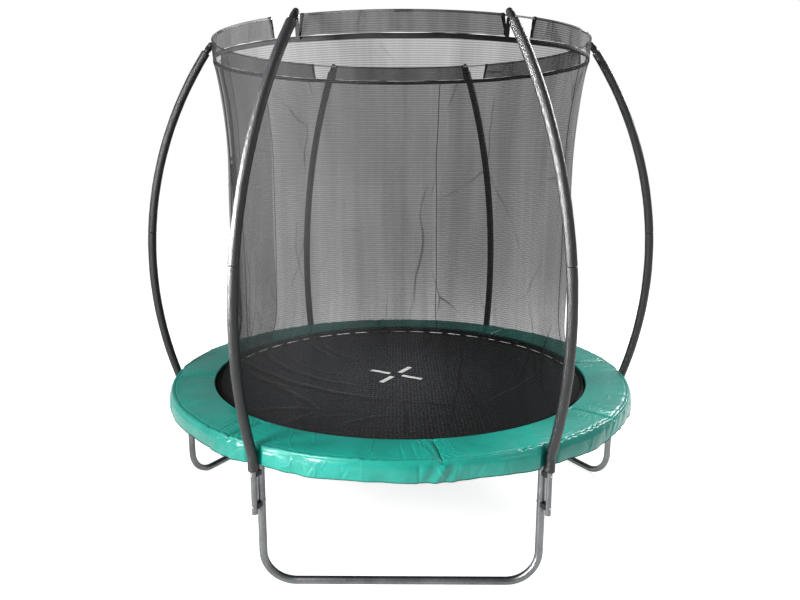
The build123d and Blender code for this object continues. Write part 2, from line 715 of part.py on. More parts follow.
def at_brackets(maker):
    """One piece at each bracket of each pole."""
    pieces = [
        Rot(0, 0, i * POLE_STEP) * maker(z) for i in range(POLE_COUNT) for z in BRACKET_HEIGHTS
    ]
    return Compound(children=pieces)


# ---- write every sub-part -----------------------------------------------------------------

os.makedirs("parts", exist_ok=True)

segment = rail_segment()
extension = leg_extension()
base = leg_base()

for index in range(POLE_COUNT):
    angle = index * POLE_STEP
    lean_side = LEAN_SIDES[index]
    save(f"rail_segment_{index + 1}", Rot(0, 0, angle) * segment)
    save(f"leg_extension_{index + 1}", Rot(0, 0, angle) * extension)
    save(f"pole_lower_{index + 1}", Rot(0, 0, angle) * pole_lower(lean_side))
    save(f"pole_upper_{index + 1}", Rot(0, 0, angle) * pole_upper(lean_side))
    save(f"foam_sleeve_{index + 1}", Rot(0, 0, angle) * foam_sleeve(lean_side))

for name, turn in (("front", 0), ("right", 120), ("left", -120)):
    save(f"leg_base_{name}", Rot(0, 0, turn) * base)


save("pole_caps", at_poles(pole_cap))
save("net_straps", at_poles(net_strap))
save("bracket_spacers", at_brackets(bracket_spacer))
save("bracket_bolts", at_brackets(bracket_bolt))
save("bracket_nuts", at_brackets(bracket_nut))
save("frame_screws", around(frame_screw(), POLE_COUNT))

half_step = SPRING_STEP / 2
save("springs", around(spring(), SPRING_COUNT, half_step))
save("v_rings", around(v_ring(), SPRING_COUNT, half_step))
save("mat_loops", around(mat_loop(), SPRING_COUNT, half_step))
save("jump_mat", Pos(0, 0, MAT_Z) * Cylinder(MAT_R, MAT_T))
hem_low = MAT_Z + MAT_T / 2
save("mat_hem", hoop(band(MAT_R - MAT_HEM_W, MAT_R, hem_low, hem_low + MAT_HEM_T)))
save("mat_cross", Compound(children=[cross_arm(CROSS_TURN + 90 * i) for i in range(4)]))
save("net_bottom_hem", net_bottom_hem())

save("pad_cover", pad_cover())
save("pad_foam", around(pad_foam_panel(), PAD_PANELS))
save("pad_ties", around(pad_tie(), PAD_PANELS, 3 * SPRING_STEP))

save("net_wall", net_wall())
save("net_top_sleeves", around(net_top_sleeve(), POLE_COUNT))
save("net_hem", net_hem())
save("top_ring_rods", around(top_rod(), POLE_COUNT))
save("rod_ferrules", around(rod_ferrule(), POLE_COUNT))

save("zip_tapes", at_door(Compound(children=[zip_tape(-1), zip_tape(1)])))
save("zip_teeth", at_door(Compound(children=[zip_tooth_row(-1), zip_tooth_row(1)])))
save("zip_slider", at_door(zip_slider()))
save("zip_pull", at_door(zip_pull()))
save("door_bindings", at_door(Compound(children=[door_binding(-1), door_binding(1)])))
save("door_clips", at_door(Compound(children=[door_clip(z) for z in CLIP_HEIGHTS])))
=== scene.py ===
import json
import math

import bmesh
import bpy
import numpy as np
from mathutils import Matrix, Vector


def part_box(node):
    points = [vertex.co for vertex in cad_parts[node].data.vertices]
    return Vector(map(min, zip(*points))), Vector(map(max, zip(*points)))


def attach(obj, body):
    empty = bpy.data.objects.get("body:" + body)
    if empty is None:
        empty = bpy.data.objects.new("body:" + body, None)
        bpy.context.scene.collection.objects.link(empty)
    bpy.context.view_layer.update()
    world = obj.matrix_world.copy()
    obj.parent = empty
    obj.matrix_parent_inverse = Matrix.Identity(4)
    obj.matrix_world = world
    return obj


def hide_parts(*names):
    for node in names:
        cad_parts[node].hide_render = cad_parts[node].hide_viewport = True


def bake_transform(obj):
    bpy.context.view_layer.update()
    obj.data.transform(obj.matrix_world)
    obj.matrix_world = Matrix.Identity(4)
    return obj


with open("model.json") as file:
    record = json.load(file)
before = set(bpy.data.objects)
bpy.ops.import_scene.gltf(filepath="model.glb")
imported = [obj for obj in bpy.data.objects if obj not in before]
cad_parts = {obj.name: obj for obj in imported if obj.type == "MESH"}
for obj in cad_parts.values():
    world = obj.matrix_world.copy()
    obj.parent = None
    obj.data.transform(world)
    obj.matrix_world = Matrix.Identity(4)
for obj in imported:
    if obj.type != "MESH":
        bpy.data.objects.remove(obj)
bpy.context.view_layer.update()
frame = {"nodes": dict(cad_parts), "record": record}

# A garden trampoline with a safety net, in metres, +Z up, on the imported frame.
# Places come from the frame's nodes; the poles' arcs follow the sizes that their tubes were bent to.

# ---- sizes --------------------------------------------------------------------------------

FLOOR_GLOW = 0.80    # floor as the camera sees it
FLOOR_BOUNCE = 0.25  # floor as a light on the object
WORLD_FILL = 0.29

POLES = 6
POLE_TURNS = [math.radians(60 * i) for i in range(POLES)]
LEAN_SIDES = [0, 1, -1, 0, 1, -1]
POLE_R = 1.240

POLE_BEND_Z = 0.6144
POLE_BEND_R = 0.060
POLE_START = math.radians(19.75)
POLE_ARC_R = 1.9187
POLE_ARC_LENGTH = 1.8926
POLE_LEAN = math.radians(2.6)
POLE_JOINT_Z = 1.4307
FOAM_TOP_GAP = 0.060
FOAM_R = 0.0222
FOAM_HOLE_R = 0.0131
FOAM_JOINT_GAP = 0.0006

SPRINGS = 48
SPRING_WIRE_R = 0.0016
SPRING_COIL_R = 0.0094
SPRING_TURNS = 30
SPRING_COIL_IN = 1.054
SPRING_COIL_OUT = 1.158

MAT_RINGS, MAT_AROUND = 130, 600
MAT_THICKNESS = 0.0016

PAD_PANELS = 8
PAD_SEAM_TURN = math.radians(7.5)
PAD_IN_R = 1.0097
PAD_T = 0.022
PAD_SKIN = 0.0024
PAD_GROOVE = 0.925   # place of the rim's groove, as a share of the pad's width
PAD_AROUND = 1440
PAD_PROUD = 0.020    # furthest that the skirt may stand out
STITCH_PITCH, STITCH_LENGTH, STITCH_HALF = 0.0075, 0.0050, 0.0006
WORN_START = math.radians(290)
WORN_END = math.radians(322)

NET_ROWS, NET_AROUND = 130, 900
NET_FOOT_R, NET_WAIST_R, NET_HEAD_R = 0.986, 0.890, 0.938
NET_WAIST_LOW = 1.00
NET_WAIST_HIGH = 1.80
DOOR_TURN = math.pi
DOOR_FLAP_HALF = math.radians(31)
DOOR_FOOT_SPREAD = 1.6
DOOR_TAPE_TOP = 1.76
DOOR_TAPE_LENGTH = 0.17
SLEEVE_GAP = math.radians(8.0)
SLEEVE_SLANT = 0.017

mat_low, mat_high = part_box("jump_mat")
pad_low, pad_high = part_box("pad_cover")
wall_low, wall_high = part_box("net_wall")
sleeve_low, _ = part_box("net_top_sleeves")
hem_low, hem_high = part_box("net_hem")
rod_low, rod_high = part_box("top_ring_rods")
_, spring_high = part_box("springs")
_, ring_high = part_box("v_rings")
foam_low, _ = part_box("foam_sleeve_1")
bottom_hem_low, bottom_hem_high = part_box("net_bottom_hem")

MAT_R = mat_high.x
MAT_TOP = mat_high.z
ROD_R = (rod_high.z - rod_low.z) / 2
RING_R = rod_high.x - ROD_R
RING_Z = (rod_high.z + rod_low.z) / 2


# ---- camera, floor and light --------------------------------------------------------------

def make_camera():
    """The view: a little above the net's door height, slightly left of the middle, tilted down."""
    data = bpy.data.cameras.new("camera")
    data.sensor_width = 36.0
    data.lens = 32.04
    data.shift_x = 0.0143
    data.shift_y = -0.0053
    camera = bpy.data.objects.new("camera", data)
    bpy.context.scene.collection.objects.link(camera)
    camera.location = (-0.0304, -3.851, 1.8478)
    camera.rotation_euler = (math.radians(90 - 11.25), 0, math.radians(0.47))
    bpy.context.scene.camera = camera


def make_floor():
    """Plain pale floor, bright enough to run into the white surround."""
    bpy.ops.mesh.primitive_plane_add(size=80, location=(0, 0, 0))
    floor = bpy.context.object
    floor.name = "floor"
    look = Look("floor_paint", (0.80, 0.80, 0.80), 0.95, Specular_IOR_Level=0.1)
    look.set("Emission Color", (1, 1, 1, 1))
    seen = look.node("LightPath").outputs["Is Camera Ray"]
    look.join(look.range(seen, FLOOR_BOUNCE, FLOOR_GLOW), look.shader.inputs["Emission Strength"])
    floor.data.materials.append(look.material)


def add_area(name, size, power, place, aim, colour=(1, 1, 1), spread=180):
    """A square soft box pointed at a place, out of the camera's sight."""
    data = bpy.data.lights.new(name, "AREA")
    data.size = size
    data.spread = math.radians(spread)
    data.energy = power
    data.color = colour
    light = bpy.data.objects.new(name, data)
    bpy.context.scene.collection.objects.link(light)
    light.location = place
    direction = Vector(aim) - Vector(place)
    light.rotation_euler = direction.to_track_quat("-Z", "Y").to_euler()
    light.visible_camera = False


def make_lights():
    """A white surround that lights softly, a large key from the front left and weaker boxes."""
    world = bpy.data.worlds.new("studio")
    world.use_nodes = True
    tree = world.node_tree
    seen = tree.nodes["Background"]
    seen.inputs["Color"].default_value = (1, 1, 1, 1)
    seen.inputs["Strength"].default_value = 1.0
    fill = tree.nodes.new("ShaderNodeBackground")
    fill.inputs["Color"].default_value = (0.93, 0.97, 1.0, 1)
    fill.inputs["Strength"].default_value = WORLD_FILL
    path = tree.nodes.new("ShaderNodeLightPath")
    mix = tree.nodes.new("ShaderNodeMixShader")
    tree.links.new(path.outputs["Is Camera Ray"], mix.inputs["Fac"])
    tree.links.new(fill.outputs["Background"], mix.inputs[1])
    tree.links.new(seen.outputs["Background"], mix.inputs[2])
    tree.links.new(mix.outputs["Shader"], tree.nodes["World Output"].inputs["Surface"])
    bpy.context.scene.world = world
    bpy.context.scene.view_settings.view_transform = "Standard"
    add_area("key", 1.6, 300, (-3.2, -4.0, 3.2), (0, 0, 1.1), (1.0, 0.98, 0.95))
    add_area("side", 0.7, 60, (-3.1, -1.5, 1.9), (-0.6, -1.0, 1.9), spread=52)
    add_area("low", 0.4, 4.5, (-3.4, -2.9, 0.30), (-0.2, -1.3, 0.15), spread=24)
    add_area("fill", 1.6, 16, (3.8, -3.2, 2.6), (0, 0, 0.9))
    add_area("rim", 2.5, 290, (3.6, 2.4, 3.9), (0, 0, 1.0))
    add_area("inside", 0.4, 2.6, (0, 0, 3.6), (0, 0, 0), spread=28)


# ---- materials ----------------------------------------------------------------------------

class Look:
    """A Principled material with short calls for its node work."""

    def __init__(self, name, colour, roughness, **constants):
        self.material = bpy.data.materials.new(name)
        self.material.use_nodes = True
        self.tree = self.material.node_tree
        self.shader = self.tree.nodes["Principled BSDF"]
        self.set("Base Color", (*colour, 1))
        self.set("Roughness", roughness)
        for socket, value in constants.items():
            self.set(socket.replace("_", " "), value)

    def set(self, socket, value):
        self.shader.inputs[socket].default_value = value

    def node(self, kind, **values):
        made = self.tree.nodes.new("ShaderNode" + kind)
        for name, value in values.items():
            if hasattr(made, name):
                setattr(made, name, value)
            else:
                made.inputs[name.replace("_", " ")].default_value = value
        return made

    def join(self, source, target):
        self.tree.links.new(source, target)

    def place(self, cloth=False):
        """Coordinates: the piece's own metres, or metres along the cloth."""
        if cloth:
            return self.node("UVMap", uv_map="cloth").outputs["UV"]
        return self.node("TexCoord").outputs["Object"]

    def stretch(self, coords, scale):
        mapping = self.node("Mapping")
        mapping.inputs["Scale"].default_value = scale
        self.join(coords, mapping.inputs["Vector"])
        return mapping.outputs["Vector"]

    def noise(self, coords, scale, detail=3.0, roughness=0.55):
        made = self.node("TexNoise", Scale=scale, Detail=detail, Roughness=roughness)
        self.join(coords, made.inputs["Vector"])
        return made.outputs["Fac"]

    def node_colour(self, kind, coords, **values):
        made = self.node(kind, **values)
        self.join(coords, made.inputs["Vector"])
        return made.outputs["Color"]

    def cells(self, coords, scale, feature="F1"):
        made = self.node("TexVoronoi", feature=feature, Scale=scale)
        self.join(coords, made.inputs["Vector"])
        return made.outputs["Distance"]

    def waves(self, coords, scale, direction="X", distortion=0.0):
        made = self.node("TexWave", Scale=scale, Distortion=distortion, bands_direction=direction)
        self.join(coords, made.inputs["Vector"])
        return made.outputs["Fac"]

    def axis(self, coords, name):
        made = self.node("SeparateXYZ")
        self.join(coords, made.inputs["Vector"])
        return made.outputs[name]

    def maths(self, operation, first, second):
        made = self.node("Math", operation=operation)
        for index, value in enumerate((first, second)):
            if isinstance(value, (int, float)):
                made.inputs[index].default_value = value
            else:
                self.join(value, made.inputs[index])
        return made.outputs[0]

    def ramp(self, factor, stops):
        """Colour or grey by factor, from (position, value) stops."""
        made = self.node("ValToRGB")
        points = made.color_ramp.elements
        while len(points) < len(stops):
            points.new(0.5)
        for point, (position, value) in zip(points, stops):
            point.position = position
            grey = isinstance(value, (int, float))
            point.color = (value, value, value, 1) if grey else (*value, 1)
        self.join(factor, made.inputs["Fac"])
        return made.outputs["Color"]

    def range(self, factor, low, high):
        made = self.node("MapRange")
        made.inputs["To Min"].default_value = low
        made.inputs["To Max"].default_value = high
        self.join(factor, made.inputs["Value"])
        return made.outputs["Result"]

    def mix(self, factor, first, second, blend="MIX"):
        made = self.node("Mix", data_type="RGBA", blend_type=blend)
        for socket, value in ((made.inputs[0], factor), (made.inputs[6], first), (made.inputs[7], second)):
            if isinstance(value, tuple):
                socket.default_value = (*value, 1)
            elif isinstance(value, (int, float)):
                socket.default_value = value
            else:
                self.join(value, socket)
        return made.outputs[2]

    def fold_lines(self, coords, bend, bend_scale, stretch, scale, width, where, stops):
        """Thin lines along bent cell borders, shown only in some places."""
        bent = self.mix(bend, coords, self.node_colour("TexNoise", coords, Scale=bend_scale, Detail=2.0))
        border = self.cells(self.stretch(bent, stretch), scale, "DISTANCE_TO_EDGE")
        line = self.ramp(border, [(0.0, 1.0), (width, 0.0)])
        return self.maths("MULTIPLY", line, self.ramp(self.noise(coords, where, 2.0), stops))

    def colour(self, output):
        self.join(output, self.shader.inputs["Base Color"])

    def rough(self, output):
        self.join(output, self.shader.inputs["Roughness"])

    def bump(self, heights):
        """Stacked bumps from (height, strength, distance) rows."""
        normal = None
        for height, strength, distance in heights:
            made = self.node("Bump", Strength=strength, Distance=distance)
            self.join(height, made.inputs["Height"])
            if normal is not None:
                self.join(normal, made.inputs["Normal"])
            normal = made.outputs["Normal"]
        self.join(normal, self.shader.inputs["Normal"])


def galvanised_look():
    """Shiny zinc-coated tube: faint spangle, drawn streaks along the tube and grey handling marks."""
    look = Look("galvanised_tube", (0.5, 0.5, 0.5), 0.3, Metallic=1.0)
    at = look.place()
    spangle = look.cells(at, 90)
    streak = look.noise(look.stretch(at, (60, 60, 4)), 3.0, 4.0)
    marks = look.noise(at, 7.0, 5.0, 0.7)
    tone = look.ramp(marks, [(0.3, (0.13, 0.135, 0.14)), (0.6, (0.25, 0.26, 0.265))])
    tone = look.mix(look.range(spangle, 0.0, 0.28), tone, (0.42, 0.43, 0.44))
    look.colour(look.mix(look.range(streak, 0.0, 0.5), tone, (0.09, 0.09, 0.095)))
    look.rough(look.range(look.maths("ADD", marks, streak), 0.18, 0.36))
    look.bump([(streak, 0.06, 0.001), (spangle, 0.03, 0.0006)])
    return look.material


def stained_look(name, base, base_rough, grain, stops, rough, bump, stretch=None, **constants):
    """One noise for colour, roughness and a slight bump: metal, rod and small plastic pieces."""
    look = Look(name, base, base_rough, **constants)
    at = look.place()
    stain = look.noise(look.stretch(at, stretch) if stretch else at, *grain)
    look.colour(look.ramp(stain, stops))
    look.rough(look.range(stain, *rough))
    look.bump([(stain, *bump)])
    return look.material


def fastener_look():
    """Bright zinc bolts, nuts and zip with slight tarnish."""
    stops = [(0.35, (0.38, 0.36, 0.33)), (0.6, (0.66, 0.66, 0.67))]
    return stained_look("zinc_fastener", (0.6, 0.6, 0.6), 0.3, (160, 4.0, 0.7), stops,
                        (0.4, 0.2), (0.08, 0.0004), Metallic=1.0)


def spring_look():
    """Zinc-plated spring wire."""
    stops = [(0.3, (0.32, 0.32, 0.32)), (0.65, (0.62, 0.63, 0.64))]
    return stained_look("spring_wire", (0.5, 0.5, 0.5), 0.28, (60, 4.0, 0.6), stops,
                        (0.38, 0.22), (0.05, 0.0003), Metallic=1.0)


def foam_look():
    """Charcoal foam in a grainy sleeve, greyer where it is rubbed."""
    look = Look("foam_sleeve", (0.02, 0.02, 0.02), 0.42, Specular_IOR_Level=0.60)
    at = look.place(cloth=True)
    grain = look.cells(look.stretch(at, (1.0, 0.6, 1)), 420)
    weave = look.cells(look.stretch(at, (0.8, 1.0, 1)), 210)
    cloud = look.noise(at, 9.0, 5.0, 0.6)
    tone = look.ramp(cloud, [(0.3, (0.0016, 0.0016, 0.0020)), (0.7, (0.0042, 0.0042, 0.0050))])
    speck = look.ramp(grain, [(0.15, 0.0), (0.62, 1.0)])
    look.colour(look.mix(look.maths("MULTIPLY", speck, 0.42), tone, (0.024, 0.024, 0.027)))
    look.rough(look.range(cloud, 0.30, 0.43))
    look.bump([(grain, 0.55, 0.0014), (weave, 0.5, 0.0024)])
    return look.material


def plastic_look():
    """Moulded black plastic with a fine spark texture and paler scuffs."""
    look = Look("black_plastic", (0.006, 0.006, 0.007), 0.42, Specular_IOR_Level=0.4)
    at = look.place()
    spark = look.noise(at, 900, 2.0)
    scuff = look.noise(at, 30, 6.0, 0.7)
    look.colour(look.ramp(scuff, [(0.45, (0.0045, 0.0045, 0.005)), (0.75, (0.020, 0.020, 0.022))]))
    look.rough(look.range(scuff, 0.34, 0.55))
    look.bump([(spark, 0.15, 0.0004)])
    return look.material


def webbing_look():
    """Black polyester webbing: herringbone ribs with a little dust."""
    look = Look("webbing", (0.005, 0.005, 0.006), 0.8, Specular_IOR_Level=0.2)
    at = look.place()
    rib = look.waves(at, 120, "DIAGONAL")
    cross = look.waves(look.stretch(at, (-1, 1, 1)), 120, "DIAGONAL")
    dust = look.noise(at, 14, 5.0)
    weave = look.maths("MULTIPLY", rib, cross)
    tone = look.ramp(dust, [(0.35, (0.0035, 0.0035, 0.004)), (0.75, (0.010, 0.010, 0.011))])
    look.colour(look.mix(look.range(weave, 0.0, 0.5), tone, (0.018, 0.018, 0.019)))
    look.rough(look.range(dust, 0.68, 0.88))
    look.bump([(weave, 0.5, 0.0008)])
    return look.material


def mat_look():
    """Woven black polypropylene: fine weave, dust, painted glints along warp lines near the middle, a
    painted side light that is paler on the left, and rubbed creases with a painted highlight on the crest
    and painted shadow beside.
    """
    look = Look("jump_mat_weave", (0.006, 0.006, 0.007), 0.6, Specular_IOR_Level=0.16)
    at = look.place(cloth=True)
    crease = look.node("Attribute", attribute_name="crease").outputs["Fac"]
    across = look.maths("ADD", look.maths("MULTIPLY", look.axis(at, "X"), 0.5), 0.5)
    warp = look.waves(at, 62, "X", 0.3)
    weft = look.waves(at, 62, "Y", 0.3)
    lines = look.waves(look.stretch(at, (1, 0.02, 1)), 17, "X", 1.6)
    dust = look.noise(at, 2.6, 6.0, 0.65)
    fuzz = look.noise(at, 95, 1.0, 0.6)
    weave = look.maths("MAXIMUM", warp, weft)
    tone = look.ramp(dust, [(0.32, (0.0016, 0.0019, 0.0028)), (0.72, (0.0060, 0.0068, 0.0086))])
    # Painted side light: the mat is painted paler on the left and darker towards the right, as light and
    # net shade fall, not as a tone of the weave.
    tone = look.mix(look.ramp(across, [(0.05, 0.75), (0.62, 0.0)]), tone, (0.0105, 0.0120, 0.0145))
    tone = look.mix(look.range(weave, 0.0, 0.35), tone, (0.0085, 0.0092, 0.011))
    # Pale fuzz of worn fibres, faded out towards the right side: the fade is painted shade.
    worn = look.maths("MULTIPLY", look.ramp(fuzz, [(0.56, 0.0), (0.65, 0.9)]),
                      look.ramp(across, [(0.50, 1.0), (0.82, 0.15)]))
    tone = look.mix(worn, tone, (0.105, 0.110, 0.118))
    # Painted glints: pale broken highlights along the warp lines, painted mostly in the middle of the mat.
    glint = look.ramp(lines, [(0.60, 0.0), (0.97, 1.0)])
    broken = look.ramp(look.noise(at, 75, 3.0), [(0.44, 0.0), (0.58, 1.0)])
    shown = look.ramp(across, [(0.34, 0.0), (0.52, 0.75), (0.76, 0.18)])
    glint = look.maths("MULTIPLY", look.maths("MULTIPLY", glint, broken), shown)
    tone = look.mix(glint, tone, (0.120, 0.120, 0.124))
    # Painted highlight on crease crests and painted shadow beside raised creases and along dark folds,
    # read from the crease attribute.
    tone = look.mix(look.ramp(crease, [(0.04, 0.0), (0.8, 0.9)]), tone, (0.105, 0.108, 0.114))
    shade = look.ramp(look.maths("MULTIPLY", crease, -1.0), [(0.04, 0.0), (0.5, 0.95)])
    look.colour(look.mix(shade, tone, (0.0006, 0.0006, 0.0008)))
    look.rough(look.range(dust, 0.50, 0.68))
    look.bump([(warp, 0.4, 0.0010), (fuzz, 0.3, 0.0010), (dust, 0.25, 0.008)])
    return look.material


def print_look():
    """White screen print that lets the weave through."""
    look = Look("white_print", (0.9, 0.9, 0.9), 0.7)
    at = look.place()
    weave = look.maths("MAXIMUM", look.waves(at, 62, "X"), look.waves(at, 62, "Y"))
    worn = look.noise(at, 45, 5.0, 0.7)
    tone = look.ramp(worn, [(0.28, (0.62, 0.62, 0.62)), (0.45, (0.93, 0.93, 0.92))])
    look.colour(look.mix(look.range(weave, 0.22, 0.0), tone, (0.40, 0.40, 0.40)))
    look.rough(look.range(worn, 0.8, 0.6))
    look.bump([(weave, 0.4, 0.0008)])
    return look.material


def pad_look():
    """Green coated fabric: glossy, cloudy in tone, softly crinkled, with fold lines and a fine emboss."""
    look = Look("pad_vinyl", (0.01, 0.28, 0.22), 0.36, Specular_IOR_Level=0.30)
    look.set("Coat Weight", 0.40)
    look.set("Coat Roughness", 0.15)
    at = look.place(cloth=True)
    cloud = look.noise(at, 3.2, 5.0, 0.6)
    crinkle = look.noise(look.stretch(at, (1.0, 2.2, 1)), 16, 4.0, 0.6)
    fine = look.noise(at, 95, 3.0, 0.6)
    emboss = look.maths("MULTIPLY", look.waves(at, 210, "X"), look.waves(at, 210, "Y"))
    fold = look.fold_lines(at, 0.10, 5.0, (1.0, 0.7, 1), 8.0, 0.05, 3.1, [(0.44, 0.0), (0.58, 1.0)])
    deep, usual, pale = (0.0030, 0.175, 0.137), (0.0052, 0.245, 0.196), (0.0090, 0.300, 0.245)
    tone = look.ramp(cloud, [(0.30, deep), (0.55, usual), (0.78, pale)])
    look.colour(look.mix(look.range(fine, 0.0, 0.30), tone, (0.012, 0.38, 0.31)))
    look.rough(look.range(look.maths("ADD", cloud, fine), 0.22, 0.40))
    look.bump(
        [(fold, 0.40, 0.0035), (crinkle, 0.22, 0.010), (fine, 0.10, 0.0015), (emboss, 0.12, 0.0004)]
    )
    return look.material


def piping_look():
    """Dark green bound edge with stitches."""
    look = Look("pad_binding", (0.003, 0.05, 0.04), 0.6)
    at = look.place(cloth=True)
    stitch = look.waves(at, 70, "X")
    dust = look.noise(at, 20, 4.0)
    tone = look.ramp(dust, [(0.3, (0.001, 0.018, 0.014)), (0.7, (0.003, 0.050, 0.040))])
    look.colour(look.mix(look.ramp(stitch, [(0.6, 0.0), (0.9, 0.45)]), tone, (0.006, 0.10, 0.08)))
    look.rough(look.range(dust, 0.5, 0.7))
    look.bump([(stitch, 0.5, 0.0012)])
    return look.material


def thread_look():
    """Twisted sewing thread, a shade darker than the pad."""
    look = Look("pad_thread", (0.010, 0.16, 0.115), 0.6)
    at = look.place()
    twist = look.waves(at, 900, "DIAGONAL")
    look.colour(look.ramp(twist, [(0.2, (0.006, 0.10, 0.07)), (0.8, (0.02, 0.22, 0.16))]))
    look.rough(look.range(twist, 0.7, 0.5))
    look.bump([(twist, 0.3, 0.0003)])
    return look.material


def net_look(name, openness):
    """Knitted black netting: threads at their own pitch, denser courses, packing creases and folds."""
    look = Look(name, (0.006, 0.006, 0.0065), 0.8, Specular_IOR_Level=0.15)
    at = look.place(cloth=True)
    courses = look.waves(look.stretch(at, (0.012, 1, 1)), 37, "Y", 1.2)
    thread_v = look.waves(at, 100, "X", 0.4)
    thread_h = look.waves(at, 100, "Y", 0.4)
    thread = look.maths("MAXIMUM", thread_v, thread_h)
    cloud = look.noise(look.stretch(at, (1.0, 0.35, 1)), 2.4, 5.0, 0.6)
    fold = look.noise(look.stretch(at, (1.0, 0.12, 1)), 5.0, 2.0, 0.5)
    streak = look.noise(look.stretch(at, (1.0, 0.03, 1)), 26, 3.0, 0.6)
    crease = look.fold_lines(at, 0.12, 2.2, (1.0, 0.5, 1), 2.3, 0.010, 1.7, [(0.50, 0.0), (0.62, 1.0)])
    alpha = look.maths("ADD", look.range(thread, -0.12, 0.10), look.range(courses, -0.09, 0.13))
    for factor, swing in ((cloud, 0.14), (fold, 0.16), (streak, 0.08)):
        alpha = look.maths("ADD", alpha, look.range(factor, -swing, swing))
    alpha = look.maths("ADD", alpha, look.maths("MULTIPLY", crease, 0.30))
    alpha = look.maths("ADD", alpha, 1.0 - openness)
    alpha = look.maths("MINIMUM", look.maths("MAXIMUM", alpha, 0.06), 0.98)
    look.join(alpha, look.shader.inputs["Alpha"])
    look.colour(look.ramp(courses, [(0.2, (0.004, 0.004, 0.0045)), (0.9, (0.014, 0.014, 0.015))]))
    look.rough(look.range(cloud, 0.7, 0.9))
    look.bump([(thread, 0.4, 0.0008)])
    return look.material


def rod_look():
    """Glass-fibre rod: grey resin with fine lengthwise strands."""
    stops = [(0.3, (0.20, 0.20, 0.19)), (0.7, (0.46, 0.46, 0.44))]
    return stained_look("glass_fibre_rod", (0.35, 0.35, 0.33), 0.35, (60, 4.0), stops,
                        (0.28, 0.45), (0.1, 0.0003), stretch=(1, 1, 30))


def clip_look():
    """Small amber plastic hook."""
    stops = [(0.3, (0.32, 0.25, 0.09)), (0.7, (0.52, 0.43, 0.18))]
    return stained_look("clip_plastic", (0.42, 0.33, 0.12), 0.4, (120, 4.0), stops,
                        (0.3, 0.5), (0.1, 0.0004))


def pale_tape_look():
    """Unbleached cotton tape with a fine rib."""
    look = Look("pale_tape", (0.78, 0.74, 0.62), 0.8, Specular_IOR_Level=0.2)
    at = look.place()
    rib = look.waves(at, 260, "DIAGONAL")
    stain = look.noise(at, 60, 4.0)
    tone = look.ramp(stain, [(0.3, (0.60, 0.56, 0.44)), (0.6, (0.82, 0.79, 0.68))])
    look.colour(look.mix(look.range(rib, 0.25, 0.0), tone, (0.45, 0.42, 0.33)))
    look.rough(look.range(stain, 0.7, 0.9))
    look.bump([(rib, 0.4, 0.0004)])
    return look.material


LOOKS = {
    "galvanised_steel": galvanised_look(),
    "zinc_fastener": fastener_look(),
    "spring_steel": spring_look(),
    "foam": foam_look(),
    "black_plastic": plastic_look(),
    "webbing": webbing_look(),
    "mat_fabric": mat_look(),
    "white_print": print_look(),
    "pad_pvc": pad_look(),
    "piping": piping_look(),
    "thread": thread_look(),
    "netting": net_look("net_mesh", 0.475),
    "netting_double": net_look("net_sleeve_mesh", 0.475),
    "netting_flap": net_look("net_flap_mesh", 0.66),
    "glass_fibre": rod_look(),
    "zip_metal": fastener_look(),
    "clip_plastic": clip_look(),
    "pale_tape": pale_tape_look(),
}


def dress_cad_nodes():
    """Give every carried-over CAD node the look of its record slot."""
    slots = {row["node"]: row["material_slot"] for row in frame["record"]["subparts"]}
    for name, node in frame["nodes"].items():
        look = LOOKS.get(slots[name], LOOKS["webbing"])
        node.data.materials.clear()
        node.data.materials.append(look)


# ---- mesh helpers -------------------------------------------------------------------------

def make_piece(name, points, faces, uvs, material, smooth=True):
    """A mesh object from points, faces and one cloth coordinate for each point."""
    mesh = bpy.data.meshes.new(name)
    mesh.from_pydata([tuple(p) for p in points], [], [tuple(int(i) for i in f) for f in faces])
    mesh.update()
    layer = mesh.uv_layers.new(name="cloth")
    index = np.zeros(len(mesh.loops), int)
    mesh.loops.foreach_get("vertex_index", index)
    layer.data.foreach_set("uv", np.asarray(uvs, float)[index].astype(np.float32).ravel())
    mesh.materials.append(material)
    mesh.polygons.foreach_set("use_smooth", [smooth] * len(mesh.polygons))
    piece = bpy.data.objects.new(name, mesh)
    bpy.context.scene.collection.objects.link(piece)
    return piece


def grid_faces(rows, columns, wrap_rows=False, wrap_columns=False):
    """Quads over a grid of points stored row by row."""
    row_count = rows if wrap_rows else rows - 1
    column_count = columns if wrap_columns else columns - 1
    i, j = np.meshgrid(np.arange(row_count), np.arange(column_count), indexing="ij")
    i2 = (i + 1) % rows
    j2 = (j + 1) % columns
    quads = np.stack([i * columns + j, i * columns + j2, i2 * columns + j2, i2 * columns + j], -1)
    return quads.reshape(-1, 4)


def smooth_step(x, low, high):
    """0 below low, 1 above high, smooth between."""
    t = np.clip((x - low) / (high - low), 0, 1)
    return t * t * (3 - 2 * t)


def bell(x, width):
    """A smooth bump, 1 at zero."""
    return np.exp(-((x / width) ** 2))


def wrapped(turn):
    """An angle brought to within half a turn of zero."""
    return (turn + np.pi) % (2 * np.pi) - np.pi


def around_axis(r, t, z):
    """Points from radius, turn and height."""
    return np.stack([r * np.cos(t), r * np.sin(t), z], -1)


def ripple(seed, x, lowest, highest, count):
    """A smooth uneven wave round a circle, from whole numbers of cycles, about -1 to 1."""
    random = np.random.default_rng(seed)
    total = np.zeros_like(x)
    for _ in range(count):
        cycles = random.integers(lowest, highest + 1)
        total += random.uniform(0.5, 1.0) * np.sin(cycles * x + random.uniform(0, 2 * np.pi))
    return total / count ** 0.5


def tube_frames(line):
    """Two unit vectors across a line at each of its points."""
    tangents = np.gradient(line, axis=0)
    tangents /= np.linalg.norm(tangents, axis=1)[:, None]
    side = np.cross(tangents, [0.0, 1.0, 0.02])
    side /= np.linalg.norm(side, axis=1)[:, None]
    return side, np.cross(tangents, side)


def lengths_along(line):
    """Distance from the first point to each point of a line."""
    steps = np.linalg.norm(np.diff(line, axis=0), axis=1)
    return np.concatenate([[0], np.cumsum(steps)])


